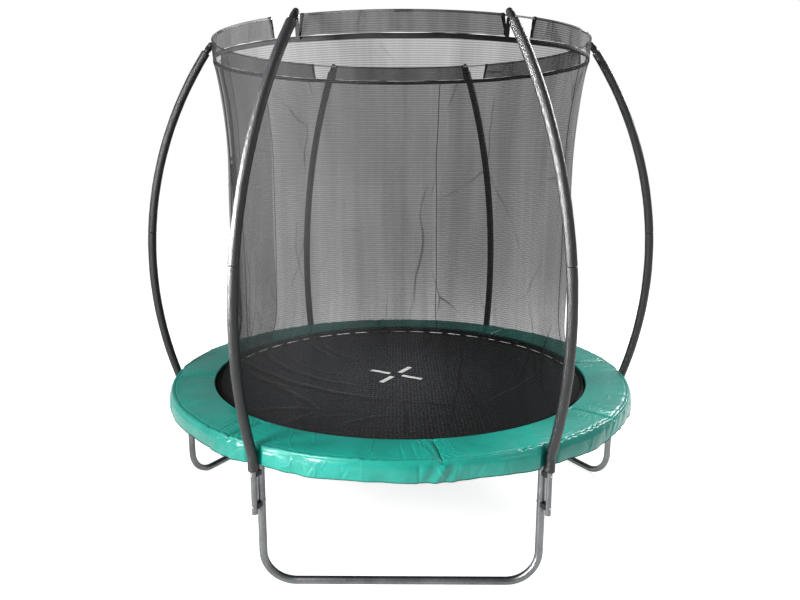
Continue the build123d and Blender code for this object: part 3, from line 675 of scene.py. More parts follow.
def tube_mesh(line, radii, sides):
    """Points, faces and cloth coordinates of an open tube round a line."""
    across, over = tube_frames(line)
    turn = np.linspace(0, 2 * np.pi, sides, endpoint=False)
    rings = (
        line[:, None, :]
        + radii[:, None, None] * np.cos(turn)[None, :, None] * across[:, None, :]
        + radii[:, None, None] * np.sin(turn)[None, :, None] * over[:, None, :]
    )
    length = lengths_along(line)
    half_way = np.abs(np.linspace(-1, 1, sides, endpoint=False))
    u = np.broadcast_to(half_way * np.pi * radii.max(), (len(line), sides))
    v = np.broadcast_to(length[:, None], (len(line), sides))
    uvs = np.stack([u, v], -1).reshape(-1, 2)
    return rings.reshape(-1, 3), grid_faces(len(line), sides, wrap_columns=True), uvs


def turned(points, angle):
    """Points turned about the Z axis."""
    c, s = math.cos(angle), math.sin(angle)
    return points @ np.array([[c, s, 0], [-s, c, 0], [0, 0, 1]])


# ---- foam sleeves -------------------------------------------------------------------------

def arc_points(lengths, side):
    """Points on a pole's long arc, in the pole's own frame."""
    angle = POLE_START - lengths / POLE_ARC_R
    out = POLE_ARC_R * (np.cos(angle) - math.cos(POLE_START))
    up = POLE_ARC_R * (math.sin(POLE_START) - np.sin(angle))
    lean = POLE_LEAN * side
    return np.stack(
        [POLE_R + out, up * math.sin(lean), POLE_BEND_Z + up * math.cos(lean)], 1
    )


def joint_length():
    """Arc length from the bend to the joint of the two tubes."""
    angle = math.asin(math.sin(POLE_START) - (POLE_JOINT_Z - POLE_BEND_Z) / POLE_ARC_R)
    return (POLE_START - angle) * POLE_ARC_R


def lower_line(side):
    """Centre line of the lower foam: straight foot, rounded bend and arc."""
    reach = POLE_BEND_R * math.tan(POLE_START / 2)
    foot_z = np.arange(foam_low.z, POLE_BEND_Z - reach, 0.008)
    foot = np.stack([np.full_like(foot_z, POLE_R), 0 * foot_z, foot_z], 1)
    start = foot[-1] * [1, 1, 0] + [0, 0, POLE_BEND_Z - reach]
    corner = np.array([POLE_R, 0, POLE_BEND_Z])
    steps = int((joint_length() - reach) / 0.010)
    arc = arc_points(np.linspace(reach, joint_length() - FOAM_JOINT_GAP / 2, steps), side)
    t = np.linspace(0, 1, 6)[:-1, None]
    bend = (1 - t) ** 2 * start + 2 * t * (1 - t) * corner + t ** 2 * arc[0]
    return np.concatenate([foot[:-1], bend, arc])


def foam_profile(line):
    """Radius along a foam tube: rounded ends and a slightly uneven wall."""
    s = lengths_along(line)
    end = np.minimum(s, s[-1] - s)
    rounding = 0.0030 * (1 - np.sqrt(np.clip(1 - (1 - np.clip(end / 0.004, 0, 1)) ** 2, 0, 1)))
    wobble = 0.00022 * np.sin(s * 31.0) + 0.00016 * np.sin(s * 83.0 + 1.0)
    return FOAM_R - 0.0004 + wobble - rounding


def fine_ends(line):
    """The line with extra points close to each end, so that the end can be rounded."""
    def near(first, second):
        steps = np.array([0.0006, 0.0016, 0.003, 0.0045])
        way = (second - first) / np.linalg.norm(second - first)
        return first + steps[:, None] * way
    head = near(line[0], line[1])
    tail = near(line[-1], line[-2])[::-1]
    return np.concatenate([line[:1], head, line[1:-1], tail, line[-1:]])


def foam_tube(line):
    """Outer wall, end rings and bore of one foam length, as one closed mesh."""
    line = fine_ends(line)
    sides = 36
    outer, faces, uvs = tube_mesh(line, foam_profile(line), sides)
    inner, inner_faces, inner_uvs = tube_mesh(line, np.full(len(line), FOAM_HOLE_R), sides)
    count = len(outer)
    last = (len(line) - 1) * sides
    ring = np.arange(sides)
    follow = (ring + 1) % sides
    low_end = np.stack([ring, ring + count, follow + count, follow], 1)
    high_end = np.stack([last + ring, last + follow, last + follow + count, last + ring + count], 1)
    faces = np.concatenate([faces, inner_faces[:, ::-1] + count, low_end, high_end])
    return np.concatenate([outer, inner]), faces, np.concatenate([uvs, inner_uvs])


def make_foam():
    """Both foam lengths of every pole."""
    joint = joint_length()
    for index in range(POLES):
        side = LEAN_SIDES[index]
        upper_s = np.linspace(joint + FOAM_JOINT_GAP / 2, POLE_ARC_LENGTH - FOAM_TOP_GAP, 90)
        meshes = [foam_tube(lower_line(side)), foam_tube(arc_points(upper_s, side))]
        shift = len(meshes[0][0])
        points = np.concatenate([meshes[0][0], meshes[1][0]])
        faces = np.concatenate([meshes[0][1], meshes[1][1] + shift])
        uvs = np.concatenate([meshes[0][2], meshes[1][2] + [0, 0.9]]) + [index * 0.37, 0]
        piece = make_piece(
            f"pole_foam_{index + 1}", turned(points, POLE_TURNS[index]), faces, uvs, LOOKS["foam"]
        )
        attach(piece, "frame")
        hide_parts(f"foam_sleeve_{index + 1}")


# ---- springs ------------------------------------------------------------------------------

def spring_line():
    """Wire centre line of one spring on the +X side: hook, coil, hook."""
    z = (mat_low.z + mat_high.z) / 2
    inner_hook = ring_high.x - 0.0090
    slot = spring_high.x - SPRING_WIRE_R
    turn = np.linspace(0, 2 * np.pi * SPRING_TURNS, SPRING_TURNS * 12)
    run = np.linspace(SPRING_COIL_IN, SPRING_COIL_OUT, len(turn))
    coil = np.stack([run, SPRING_COIL_R * np.sin(turn), z + SPRING_COIL_R * np.cos(turn)], 1)
    lead_in = np.array(
        [
            [inner_hook, 0, z - 0.004],
            [inner_hook - 0.001, 0, z + 0.001],
            [inner_hook + 0.001, 0, z + 0.0045],
            [inner_hook + 0.006, 0, z + 0.0055],
            [SPRING_COIL_IN - 0.004, 0, z + 0.0075],
        ]
    )
    lead_out = np.array(
        [
            [SPRING_COIL_OUT + 0.002, 0, z + 0.0080],
            [SPRING_COIL_OUT + 0.007, 0, z + 0.0030],
            [slot - 0.008, 0, z + 0.0005],
            [slot - 0.001, 0, z - 0.001],
            [slot, 0, z - 0.006],
        ]
    )
    return np.concatenate([lead_in, coil, lead_out])


def make_springs():
    """Every extension spring, stretching from the rail to the mat's rings."""
    line = spring_line()
    points, faces, uvs = tube_mesh(line, np.full(len(line), SPRING_WIRE_R), 6)
    for index in range(SPRINGS):
        angle = 2 * math.pi * (index + 0.5) / SPRINGS
        name = f"spring_{index + 1}"
        piece = make_piece(name, turned(points, angle), faces, uvs, LOOKS["spring_steel"])
        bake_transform(piece)
        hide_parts("springs")


# ---- mat ----------------------------------------------------------------------------------

def make_mat():
    """The jumping mat: a woven sheet with slack creases, drawn in a little at each spring."""
    rings, around = MAT_RINGS, MAT_AROUND
    radius = (MAT_R - 0.001) * np.linspace(0, 1, rings) ** 0.85
    turn = np.linspace(0, 2 * np.pi, around, endpoint=False)
    r, t = np.meshgrid(radius, turn, indexing="ij")
    pull = 0.5 - 0.5 * np.cos(t * SPRINGS)
    near_edge = smooth_step(r, MAT_R * 0.90, MAT_R)
    r = r - 0.0035 * pull * near_edge
    x, y = r * np.cos(t), r * np.sin(t)
    slack = 1 - smooth_step(r, MAT_R * 0.5, MAT_R * 0.97)
    z = MAT_TOP - 0.0010 - 0.0040 * slack + 0.0006 * np.sin(x * 21 + 2 * np.sin(y * 5)) * slack
    rise, crease = mat_creases(x, y)
    z = z + rise
    upper = np.stack([x, y, z], -1).reshape(-1, 3)
    lower = upper - [0, 0, MAT_THICKNESS]
    faces = grid_faces(rings, around, wrap_columns=True)
    count = len(upper)
    rim = (rings - 1) * around + np.arange(around)
    follow = (rings - 1) * around + (np.arange(around) + 1) % around
    edge_faces = np.stack([rim, rim + count, follow + count, follow], 1)
    points = np.concatenate([upper, lower])
    all_faces = np.concatenate([faces, faces[:, ::-1] + count, edge_faces])
    piece = make_piece("mat_sheet", points, all_faces, points[:, :2], LOOKS["mat_fabric"])
    # The crease attribute carries painted light and shade: positive on a crest, negative beside it and in
    # dark folds.
    crease_light_and_shade = piece.data.attributes.new("crease", "FLOAT", "POINT")
    crease_light_and_shade.data.foreach_set("value", np.tile(crease.ravel(), 2).astype(np.float32))
    merge_centre(piece)
    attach(piece, "mat")
    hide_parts("jump_mat")


def mat_creases(x, y):
    """Height and painted light-and-shade tone of the creases of the slack mat, from lines (start, end,
    bow, height, width).

    A raised crease gets a painted highlight on its crest, partly rubbed pale, and a painted shadow beside
    it; a negative height is a fold with painted shade.
    """
    lines = [
        ((-0.84, 0.50), (-0.21, -0.18), -0.11, 0.0075, 0.011),
        ((-0.72, 0.52), (-0.30, 0.00), -0.08, 0.0050, 0.010),
        ((-0.94, 0.30), (-0.09, -0.39), -0.10, 0.0085, 0.012),
        ((-0.90, 0.16), (-0.42, -0.30), -0.07, 0.0050, 0.010),
        ((-0.86, 0.01), (-0.39, -0.53), 0.02, 0.0075, 0.011),
        ((-0.70, -0.10), (-0.50, -0.50), 0.03, 0.0045, 0.009),
        ((-0.74, -0.58), (-0.36, -0.55), 0.03, 0.0065, 0.011),
        ((-0.56, -0.76), (-0.40, -0.58), 0.00, 0.0060, 0.009),
        ((-0.60, 0.76), (-0.33, 0.30), -0.03, 0.0050, 0.010),
        ((-0.48, 0.66), (-0.22, 0.26), -0.03, 0.0040, 0.010),
        ((-0.44, -0.44), (0.31, -0.52), 0.06, -0.0060, 0.009),
        ((-0.30, -0.80), (-0.02, -0.62), 0.04, 0.0050, 0.010),
        ((-0.46, -0.68), (-0.16, -0.64), 0.03, 0.0040, 0.010),
        ((0.42, 0.90), (0.20, -0.86), 0.03, -0.0045, 0.008),
        ((0.34, -0.06), (0.40, -0.82), 0.01, -0.0040, 0.007),
        ((0.31, -0.56), (0.86, 0.20), -0.04, 0.0030, 0.006),
        ((0.02, -0.42), (0.02, -0.90), 0.01, -0.0040, 0.008),
    ]
    rise, tone = np.zeros_like(x), np.zeros_like(x)
    for start, end, bow, height, width in lines:
        start, end = np.array(start), np.array(end)
        long = np.linalg.norm(end - start)
        way = (end - start) / long
        along = ((x - start[0]) * way[0] + (y - start[1]) * way[1]) / long
        aside = -(x - start[0]) * way[1] + (y - start[1]) * way[0]
        inside = np.clip(along, 0, 1)
        off = (aside - bow * 4 * inside * (1 - inside) - 0.004 * np.sin(along * 23)) / width
        fade = np.sin(np.pi * inside) ** 0.6
        crest = fade * np.exp(-(off ** 2))
        dip = fade * np.exp(-(((off + 1.9) / 1.5) ** 2))
        rise += height * (crest - 0.4 * dip)
        # Painted light and shade: a highlight on each raised crest, shadow beside it and along dark folds.
        tone += np.sign(height) * (crest - 0.8 * dip * (height > 0)) * abs(height) / 0.0085
    rim = 1 - smooth_step(np.hypot(x, y), MAT_R * 0.93, MAT_R * 0.975)
    return rise * rim, np.clip(tone, -1, 1) * rim


def merge_centre(piece):
    """Join points that fall on one place, as at the middle of a disc."""
    work = bmesh.new()
    work.from_mesh(piece.data)
    bmesh.ops.remove_doubles(work, verts=work.verts, dist=1e-6)
    work.to_mesh(piece.data)
    work.free()


# ---- safety pad ---------------------------------------------------------------------------

def pad_outline():
    """The pad's closed section, as rows of (radius, height, puff, hang, skin inset).

    Puff is how freely the top can rise, hang runs from 0 at the rim to 1 at the skirt's foot,
    and skin inset is the skirt's thickness on its inner face.
    """
    inner, outer = PAD_IN_R, pad_high.x
    top, under, foot = pad_high.z, pad_high.z - PAD_T, pad_low.z
    roll, lip = 0.012, 0.007
    rows = []
    for t in np.linspace(1, 0, 10):
        rows.append((inner + 0.006 + (outer - 0.038 - inner) * t, under, 0, 0, 0))
    for a in np.linspace(-np.pi / 2, -np.pi, 4)[1:]:
        rows.append((inner + 0.006 + 0.006 * np.cos(a), under + 0.006 + 0.006 * np.sin(a), 0, 0, 0))
    for a in np.linspace(np.pi, np.pi / 2, 6):
        rows.append((inner + lip + lip * np.cos(a), top - lip + lip * np.sin(a), 0.2, 0, 0))
    for t in np.linspace(0, 1, 34)[1:]:
        rows.append((inner + lip + (outer - roll - inner - lip) * t, top, 1, 0, 0))
    for a in np.linspace(np.pi / 2, 0, 7)[1:]:
        rows.append((outer - roll + roll * np.cos(a), top - roll + roll * np.sin(a), 0.6, 0, 0))
    for t in np.linspace(0, 1, 18)[1:]:
        rows.append((outer, top - roll + (foot - top + roll) * t, 0, t, 0))
    for t in np.linspace(1, 0.12, 14):
        rows.append((outer, top - roll + (foot - top + roll) * t, 0, t, PAD_SKIN))
    return np.array(rows, float)


def seam_distance(turn):
    """Angle to the nearest pad seam, in radians."""
    step = 2 * np.pi / PAD_PANELS
    return (turn - PAD_SEAM_TURN + step / 2) % step - step / 2


def pole_distance(turn):
    """Angle to the nearest pole, in radians."""
    step = 2 * np.pi / POLES
    return np.abs((turn + step / 2) % step - step / 2)


def pad_creases(t, across):
    """Sharp drag creases beside the seams of the pad, as short straight lines over the panel.

    Across runs from 0 at the pad's inner lip to 1 at its rim.
    """
    random = np.random.default_rng(71)
    total = np.zeros_like(t)
    for panel in range(PAD_PANELS):
        seam_turn = PAD_SEAM_TURN + 2 * np.pi * panel / PAD_PANELS
        for _ in range(9):
            side = random.choice([-1.0, 1.0])
            offset = side * random.uniform(0.012, 0.13)
            slope = random.uniform(-0.05, 0.05) - 0.03 * side
            centre, reach = random.uniform(0.15, 0.85), random.uniform(0.14, 0.34)
            height = random.uniform(0.0012, 0.0030) * random.choice([-1.0, 1.0])
            away = wrapped(t - seam_turn - offset - slope * (across - centre))
            total += height * bell(away, 0.0042) * bell(across - centre, reach)
    return total


def skirt_creases(t, hang):
    """Sharp slanted creases in the pad's skirt, in small fans."""
    random = np.random.default_rng(72)
    total = np.zeros_like(t)
    for _ in range(26):
        fan_turn = random.uniform(0, 2 * np.pi)
        for _ in range(3):
            slope, offset = random.uniform(-0.05, 0.05), random.uniform(-0.03, 0.03)
            middle, reach = random.uniform(0.4, 0.8), random.uniform(0.25, 0.45)
            height = random.uniform(0.0014, 0.0030) * random.choice([-1.0, 1.0])
            away = wrapped(t - fan_turn - offset - slope * (hang - 0.9))
            total += height * bell(away, 0.0040) * bell(hang - middle, reach)
    return total


def pad_surface(t, rows):
    """Displaced radius and height of the pad's section rows at the given turns."""
    r, z, puff, hang, inset = (np.broadcast_to(rows[:, k], t.shape).copy() for k in range(5))
    inner, outer = PAD_IN_R, pad_high.x
    across = np.clip((r - inner) / (outer - inner), 0, 1)
    seam = seam_distance(t) * r
    groove = bell(seam, 0.005) + 0.45 * bell(seam, 0.026)
    pinch = bell(seam, 0.08)
    crown = np.sin(np.pi * across) ** 0.7
    fan = np.sin(26 * np.arctan2(across - 0.5, np.abs(seam) * 5 + 0.12) + 4 * np.sign(seam))

    rise = 0.0050 * crown - 0.0095 * groove + 0.0016 * pinch * fan
    rise += 0.0018 * ripple(3, t + 0.10 * across, 16, 40, 8) * (0.3 + 0.7 * across)
    rise += 0.0011 * ripple(4, t - 0.06 * across, 50, 110, 9) * across ** 2
    edge = bell(across - 0.955, 0.030)
    worn = smooth_step(t, WORN_START, WORN_START + 0.10)
    worn = worn * (1 - smooth_step(t, WORN_END - 0.08, WORN_END))
    rise += (0.0020 + 0.0030 * worn) * edge * ripple(5, t, 70, 190, 12)
    rise -= 0.0052 * bell(across - PAD_GROOVE, 0.014) * (1 - 0.6 * worn)
    rise += 0.0022 * worn * bell(across - 0.90, 0.07) * ripple(15, t + 0.5 * across, 120, 300, 10)
    rise += pad_creases(t, across)
    z += (rise - 0.002) * puff

    loose = smooth_step(hang, 0.0, 0.25)
    crumple = np.clip(ripple(14, t, 5, 17, 6), 0, 1)
    out = hang * (0.0085 * ripple(8, t, 7, 20, 8) + 0.0034 * ripple(9, t + 0.020 * hang, 26, 64, 9))
    out += 0.0022 * loose * crumple * ripple(10, t + 0.045 * hang, 60, 130, 10)
    out += 0.020 * hang * (1 - hang) + 0.003 * loose
    out += 0.0040 * loose * pinch * np.sin(seam * 85 + 4 * hang) + loose * skirt_creases(t, hang)
    out -= 0.0030 * loose * bell(seam_distance(t + 0.075) * outer, 0.006)
    r += np.clip(out, -0.004, 0.018) * (hang > 0)
    z += hang * (0.0034 * ripple(11, t, 8, 24, 8) + 0.0006 * ripple(12, t, 60, 110, 6) - 0.003 * pinch)

    clear = POLE_R - FOAM_R - 0.001
    near_pole = 1 - smooth_step(pole_distance(t) * outer, 0.018, 0.070)
    limit = outer + PAD_PROUD - (outer + PAD_PROUD - clear) * near_pole
    return np.minimum(r, limit) - inset, z


def make_pad():
    """The sewn pad: puffed panels between seams, a rolled rim and a wavy skirt drawn in round the poles.
    """
    rows = pad_outline()
    around = PAD_AROUND
    turn = np.linspace(0, 2 * np.pi, around, endpoint=False)
    t = np.repeat(turn[:, None], len(rows), 1)
    r, z = pad_surface(t, rows)
    points = around_axis(r, t, z).reshape(-1, 3)
    along = lengths_along(rows[:, :2])
    uvs = np.stack([t * pad_high.x, np.repeat(along[None, :], around, 0)], -1).reshape(-1, 2)
    faces = grid_faces(around, len(rows), wrap_rows=True, wrap_columns=True)
    piece = make_piece("pad_ring", points, faces, uvs, LOOKS["pad_pvc"])
    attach(piece, "frame")
    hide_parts("pad_cover", "pad_foam")
    make_piping(rows, turn)
    make_seams(rows)


def make_piping(rows, turn):
    """The pad's dark bindings: one sunk in the groove beside the rim and one at the skirt's foot."""
    top = np.flatnonzero(rows[:, 2] >= 1)
    groove = PAD_IN_R + PAD_GROOVE * (pad_high.x - PAD_IN_R)
    rim = top[int(np.argmin(np.abs(rows[top, 0] - groove)))]
    foot = int(np.argmax(rows[:, 3] >= 1.0))
    for name, row, radius in (("pad_rim_piping", rim, 0.0017), ("pad_skirt_hem", foot, 0.0016)):
        r, z = pad_surface(turn[:, None], rows[row][None, :])
        line = around_axis(r[:, 0], turn, z[:, 0])
        piece = closed_tube(name, line, radius, 8, LOOKS["piping"])
        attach(piece, "frame")


def closed_tube(name, line, radius, sides, look):
    """A round tube along a closed line round the Z axis."""
    out = line * [1, 1, 0]
    out /= np.linalg.norm(out, axis=1)[:, None]
    a = np.linspace(0, 2 * np.pi, sides, endpoint=False)
    up = np.array([0, 0, 1.0])
    ring = np.cos(a)[None, :, None] * out[:, None, :] + np.sin(a)[None, :, None] * up
    rings = line[:, None, :] + radius * ring
    step = np.linalg.norm(line - np.roll(line, 1, 0), axis=1)
    u = np.broadcast_to(np.cumsum(step)[:, None], (len(line), sides))
    v = np.broadcast_to((a * radius)[None, :], (len(line), sides))
    faces = grid_faces(len(line), sides, wrap_rows=True, wrap_columns=True)
    return make_piece(name, rings.reshape(-1, 3), faces, np.stack([u, v], -1).reshape(-1, 2), look)


def make_seams(rows):
    """One row of thread on each side of every seam of the pad, stitch by stitch."""
    top = rows[(rows[:, 2] >= 1)]
    r_now = np.arange(PAD_IN_R + 0.014, pad_high.x - 0.022, STITCH_PITCH)
    puff = np.ones_like(r_now)
    corners = np.array([[-1, -1, -1], [1, -1, -1], [1, 1, -1], [-1, 1, -1]])
    corners = np.concatenate([corners, corners * [1, 1, -1]])
    sides = [[3, 2, 1, 0], [4, 5, 6, 7], [0, 1, 5, 4], [1, 2, 6, 5], [2, 3, 7, 6], [3, 0, 4, 7]]
    points, faces = [], []
    for panel in range(PAD_PANELS):
        seam_turn = PAD_SEAM_TURN + 2 * np.pi * panel / PAD_PANELS
        for offset in (-0.0085, 0.0085):
            t = seam_turn + offset / r_now
            line = np.stack([r_now, np.full_like(r_now, top[0, 1]), puff, 0 * puff, 0 * puff], -1)
            surface = [pad_surface(np.array([[a]]), row[None, :])[1][0, 0] for a, row in zip(t, line)]
            for a, r, z in zip(t, r_now, surface):
                out = np.array([np.cos(a), np.sin(a), 0])
                along = np.array([-np.sin(a), np.cos(a), 0])
                centre = out * r + [0, 0, z + 0.0002]
                shape = corners * [STITCH_LENGTH / 2, STITCH_HALF, STITCH_HALF]
                block = centre + shape[:, :1] * out + shape[:, 1:2] * along + shape[:, 2:] * [0, 0, 1]
                faces += [[i + len(points) for i in side] for side in sides]
                points += list(block)
    points = np.array(points)
    piece = make_piece("pad_stitches", points, faces, points[:, :2], LOOKS["thread"])
    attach(piece, "frame")


def ribbon(name, line, width, lift, look, across):
    """A flat closed strip along a line of points, as wide as given along the across directions."""
    tangents = np.gradient(line, axis=0)
    up = np.cross(tangents, across)
    up /= np.linalg.norm(up, axis=1)[:, None]
    half = across * np.reshape(width, (-1, 1)) / 2
    thick = up * lift / 2
    corners = [line - half + thick, line + half + thick, line + half - thick, line - half - thick]
    points = np.stack(corners, 1).reshape(-1, 3)
    s = lengths_along(line)
    wide = np.max(width)
    v = np.array([0, wide, wide + lift, 2 * wide + lift])
    uvs = np.stack(np.broadcast_arrays(s[:, None], v[None, :]), -1).reshape(-1, 2)
    faces = grid_faces(len(line), 4, wrap_columns=True)
    last = (len(line) - 1) * 4
    ends = np.array([[3, 2, 1, 0], [last, last + 1, last + 2, last + 3]])
    return make_piece(name, points, np.concatenate([faces, ends]), uvs, look, smooth=False)


# ---- net ----------------------------------------------------------------------------------

def wall_radius(z):
    """Radius of the net wall by height: flared foot, narrow waist, flared head."""
    low = np.clip((NET_WAIST_LOW - z) / (NET_WAIST_LOW - wall_low.z), 0, 1)
    high = np.clip((z - NET_WAIST_HIGH) / (wall_high.z - NET_WAIST_HIGH), 0, 1)
    foot, head = (NET_FOOT_R - NET_WAIST_R) * low ** 2.2, (NET_HEAD_R - NET_WAIST_R) * high ** 1.9
    return NET_WAIST_R + foot + head


def make_net():
    """The net wall: one tube of netting with long folds, drag lines and a slack foot."""
    rows, around = NET_ROWS, NET_AROUND
    height = np.linspace(0, 1, rows)
    turn = np.linspace(0, 2 * np.pi, around, endpoint=False)
    h, t = np.meshgrid(height, turn, indexing="ij")
    low_z = bottom_hem_low.z + 0.002
    z = low_z + (hem_high.z - 0.002 - low_z) * h
    r = wall_radius(z)
    free = np.sin(np.pi * np.clip(h, 0, 1)) ** 0.6
    folds = ripple(21, t + 0.05 * np.sin(3 * h + 2 * t), 8, 22, 7)
    fine = ripple(22, t + 0.03 * h, 34, 70, 8)
    r += free * (0.0060 * folds + 0.0022 * fine)
    drag = np.sin(14 * h + 3 * ripple(23, t, 2, 6, 4))
    r += 0.0025 * drag * free
    gather = smooth_step(h, 0.90, 1.0)
    r += gather * 0.0016 * np.sin(t * 150)
    r += 0.004 * smooth_step(h, 0.955, 1.0)
    points = around_axis(r, t, z).reshape(-1, 3)
    around_length = 2 * np.pi * NET_WAIST_R
    uvs = np.stack([t / (2 * np.pi) * around_length, z], -1).reshape(-1, 2)
    faces = grid_faces(rows, around, wrap_columns=True)
    piece = make_piece("net_sheet", points, faces, uvs, LOOKS["netting"])
    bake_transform(piece)
    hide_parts("net_wall")


def net_point(t, z, out):
    """A point of the net wall's face at a turn and height, moved outwards."""
    return around_axis(wall_radius(z) + out, t, z)


def make_door_flap():
    """The second layer of net that closes over the door from inside, with its own folds."""
    rows, columns = 110, 150
    low, high = bottom_hem_low.z + 0.02, hem_low.z - 0.004
    h, c = np.meshgrid(np.linspace(0, 1, rows), np.linspace(0, 1, columns), indexing="ij")
    z = low + (high - low) * h
    t = DOOR_TURN + DOOR_FLAP_HALF * (2 * c - 1) * (1 - 0.04 * np.sin(np.pi * h))
    sag = np.sin(np.pi * h) ** 0.7
    folds = ripple(51, t * 2 + 0.2 * h, 14, 30, 6) * 0.006 + ripple(52, t * 3, 24, 60, 7) * 0.0025
    points = net_point(t, z, -0.016 - 0.004 * sag + folds * sag).reshape(-1, 3)
    uvs = np.stack([t * NET_WAIST_R + 2.3, z], -1).reshape(-1, 2)
    piece = make_piece("door_flap", points, grid_faces(rows, columns), uvs, LOOKS["netting_flap"])
    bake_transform(piece)


def make_net_bands():
    """Webbing on the net: both edges of the door, the flap's edges and the wall's sewn seams."""
    low, high = bottom_hem_low.z + 0.010, hem_low.z - 0.002
    z = np.linspace(low, high, 120)
    rows = [
        ("door_edge_front", DOOR_TURN + math.radians(3.6), 0.034, 0.0052),
        ("door_edge_back", DOOR_TURN - math.radians(3.6), 0.034, 0.0052),
        ("flap_edge_front", DOOR_TURN + DOOR_FLAP_HALF, 0.0045, -0.012),
        ("flap_edge_back", DOOR_TURN - DOOR_FLAP_HALF, 0.0045, -0.012),
        ("net_seam_right", math.radians(4.0), 0.008, 0.004),
        ("net_seam_back", math.radians(74.0), 0.0045, 0.004),
    ]
    for index, (name, turn, width, out) in enumerate(rows):
        wave = 0.004 * np.sin(z * 5.1 + index) + 0.002 * np.sin(z * 13.0 + 2 * index)
        t = turn + wave / NET_WAIST_R
        line = net_point(t, z, out + 0.0012 * np.sin(z * 17 + index))
        across = np.stack([-np.sin(t), np.cos(t), 0 * t], -1)
        spread = 1 + DOOR_FOOT_SPREAD * (1 - smooth_step(z, low, low + 0.34)) * (width > 0.02)
        piece = ribbon(name, line, width * spread, 0.0012, LOOKS["webbing"], across)
        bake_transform(piece)


def make_door_tape():
    """The narrow pale tape that hangs in the door's slit, to draw the zip by."""
    z = np.linspace(DOOR_TAPE_TOP - DOOR_TAPE_LENGTH, DOOR_TAPE_TOP, 40)
    t = DOOR_TURN + math.radians(7.0) + 0.006 * np.sin(z * 38)
    line = net_point(t, z, 0.0105 + 0.0015 * np.sin(z * 27))
    across = np.stack([-np.sin(t), np.cos(t), 0 * t], -1)
    piece = ribbon("door_pull_tape", line, 0.006, 0.0010, LOOKS["pale_tape"], across)
    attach(piece, "frame")


def sleeve_section():
    """Section of a sleeve round its rod as (outward, height) points, and their share of its height."""
    rod = ROD_R + 0.0022
    top = RING_Z + rod
    turn = np.linspace(np.radians(-35), np.radians(215), 17)
    arch = np.stack([rod * np.cos(turn), RING_Z + rod * np.sin(turn)], -1)
    drop = np.linspace(0, 1, 14)[1:]
    foot = sleeve_low.z + 0.001
    walls = []
    for (start_r, start_z), end_r in ((arch[0], 0.0012), (arch[-1], -0.0012)):
        wall_r = end_r + (start_r - end_r) * (1 - drop) ** 2
        walls.append(np.stack([wall_r, start_z + (foot - start_z) * drop], -1))
    section = np.concatenate([walls[0][::-1], arch, walls[1]])
    return section, np.clip((section[:, 1] - foot) / (top - foot), 0, 1)


def make_sleeves():
    """The doubled tunnels round the top rod: snug over the rod, creased below, with bound ends."""
    section, share = sleeve_section()
    for index in range(POLES):
        start = POLE_TURNS[index] + SLEEVE_GAP / 2
        end = POLE_TURNS[index] + math.radians(60) - SLEEVE_GAP / 2
        count = 220
        c = np.linspace(0, 1, count)[:, None]
        slant = SLEEVE_SLANT / RING_R * share[None, :]
        t = start + slant + (end - start - 2 * slant) * c
        free = (1 - share[None, :]) * np.sin(np.pi * np.clip(share[None, :] * 1.15, 0, 1))
        crease = 0.0060 * ripple(30 + index, t * 6, 4, 14, 6)
        crease = crease + 0.0035 * ripple(36 + index, t * 6 + share * 3, 12, 30, 6)
        r = RING_R + section[None, :, 0] + crease * free
        z = section[None, :, 1] + 0.0012 * ripple(42 + index, t * 6, 3, 9, 4) * (1 - share[None, :])
        points = around_axis(r, t, np.broadcast_to(z, r.shape))
        along = np.broadcast_to(lengths_along(section)[None, :], r.shape)
        uvs = np.stack([t * RING_R, along + 0.4 * index], -1).reshape(-1, 2)
        faces = grid_faces(count, len(section))
        name = f"net_sleeve_{index + 1}"
        piece = make_piece(name, points.reshape(-1, 3), faces, uvs, LOOKS["netting_double"])
        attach(piece, "frame")
        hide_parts("net_top_sleeves")
        for end_name, column in (("start", 0), ("end", -1)):
            bind_edge(f"sleeve_binding_{index + 1}_{end_name}", points[column], t[column].mean())


def bind_edge(name, line, turn):
    """Black binding folded over one end of a sleeve."""
    outward = np.array([np.cos(turn), np.sin(turn), 0])
    along = np.array([-np.sin(turn), np.cos(turn), 0])
    middle = line.mean(0)
    line = line + outward * 0.0011 * np.sign((line - middle) @ outward)[:, None]
    line = line + np.array([0, 0, 0.001]) * np.clip((line[:, 2:] - RING_Z) / 0.004, 0, 1)
    piece = ribbon(name, line, 0.011, 0.0010, LOOKS["webbing"], np.broadcast_to(along, line.shape))
    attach(piece, "frame")


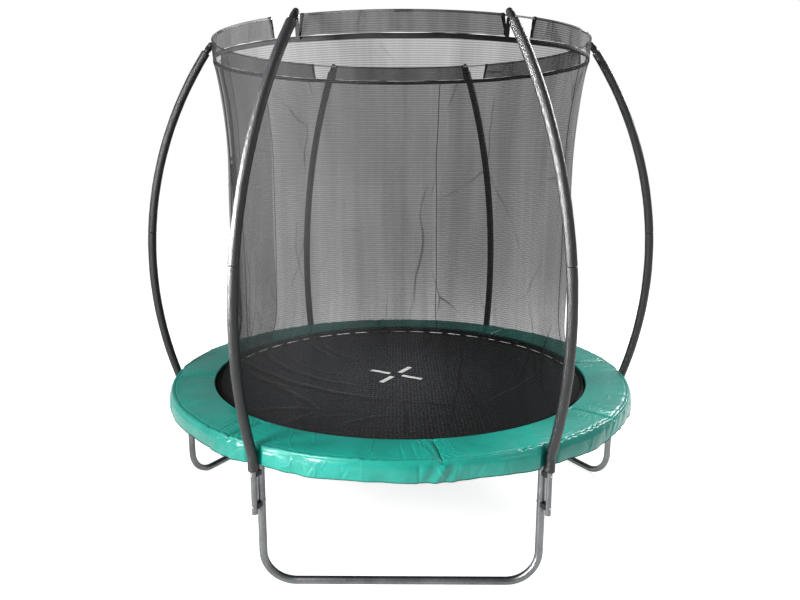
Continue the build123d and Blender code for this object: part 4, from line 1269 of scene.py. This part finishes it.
def make_hems():
    """The webbing band under the sleeves and the wide band at the net's foot."""
    turn = np.linspace(0, 2 * np.pi, 721)[:-1]
    middle, half = (hem_low.z + hem_high.z) / 2, (hem_high.z - hem_low.z) / 2 - 0.0005
    lean = 0.0010 * ripple(61, turn, 12, 40, 7)
    sag = 0.0016 * ripple(62, turn, 6, 18, 5)
    out = RING_R - 0.0002
    section = [(-0.0011, -half), (0.0011, -half), (0.0014, 0.0), (0.0011, half), (-0.0011, half)]
    band_ring("net_hem_band", turn, section, out + lean, middle + sag, "webbing", "frame", "net_hem")
    low = bottom_hem_low.z + 0.0006
    flat = [
        (0.0, 0.0), (0.0130, -0.0002), (0.0320, 0.0008), (0.0540, 0.0026),
        (0.0540, 0.0038), (0.0320, 0.0022), (0.0130, 0.0012), (0.0016, 0.0030), (0.0064, 0.0130),
        (0.0104, 0.0240), (0.0090, 0.0246), (0.0044, 0.0134), (-0.0016, 0.0040),
    ]
    ruffle = 0.0008 * ripple(63, turn, 30, 80, 8)
    out, height = bottom_hem_high.x - 0.004 + ruffle, low + np.abs(ruffle)
    band_ring("net_foot_band", turn, flat, out, height, "webbing", "mat", "net_bottom_hem")


def band_ring(name, turn, section, r, z, look, body, node):
    """A closed band of the given section round the Z axis, in place of a CAD node."""
    section = np.array(section)
    ring_r = r[:, None] + section[None, :, 0]
    ring_z = z[:, None] + section[None, :, 1]
    points = around_axis(ring_r, turn[:, None], ring_z)
    along = lengths_along(section)
    u = turn[:, None] * r.mean() + 0 * along[None, :]
    uvs = np.stack([u, np.broadcast_to(along[None, :], u.shape)], -1)
    faces = grid_faces(len(turn), len(section), wrap_rows=True, wrap_columns=True)
    piece = make_piece(name, points.reshape(-1, 3), faces, uvs.reshape(-1, 2), LOOKS[look])
    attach(piece, body)
    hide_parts(node)


make_camera()
make_floor()
make_lights()
dress_cad_nodes()
make_foam()
make_springs()
make_mat()
make_pad()
make_net()
make_door_flap()
make_net_bands()
make_door_tape()
make_sleeves()
make_hems()
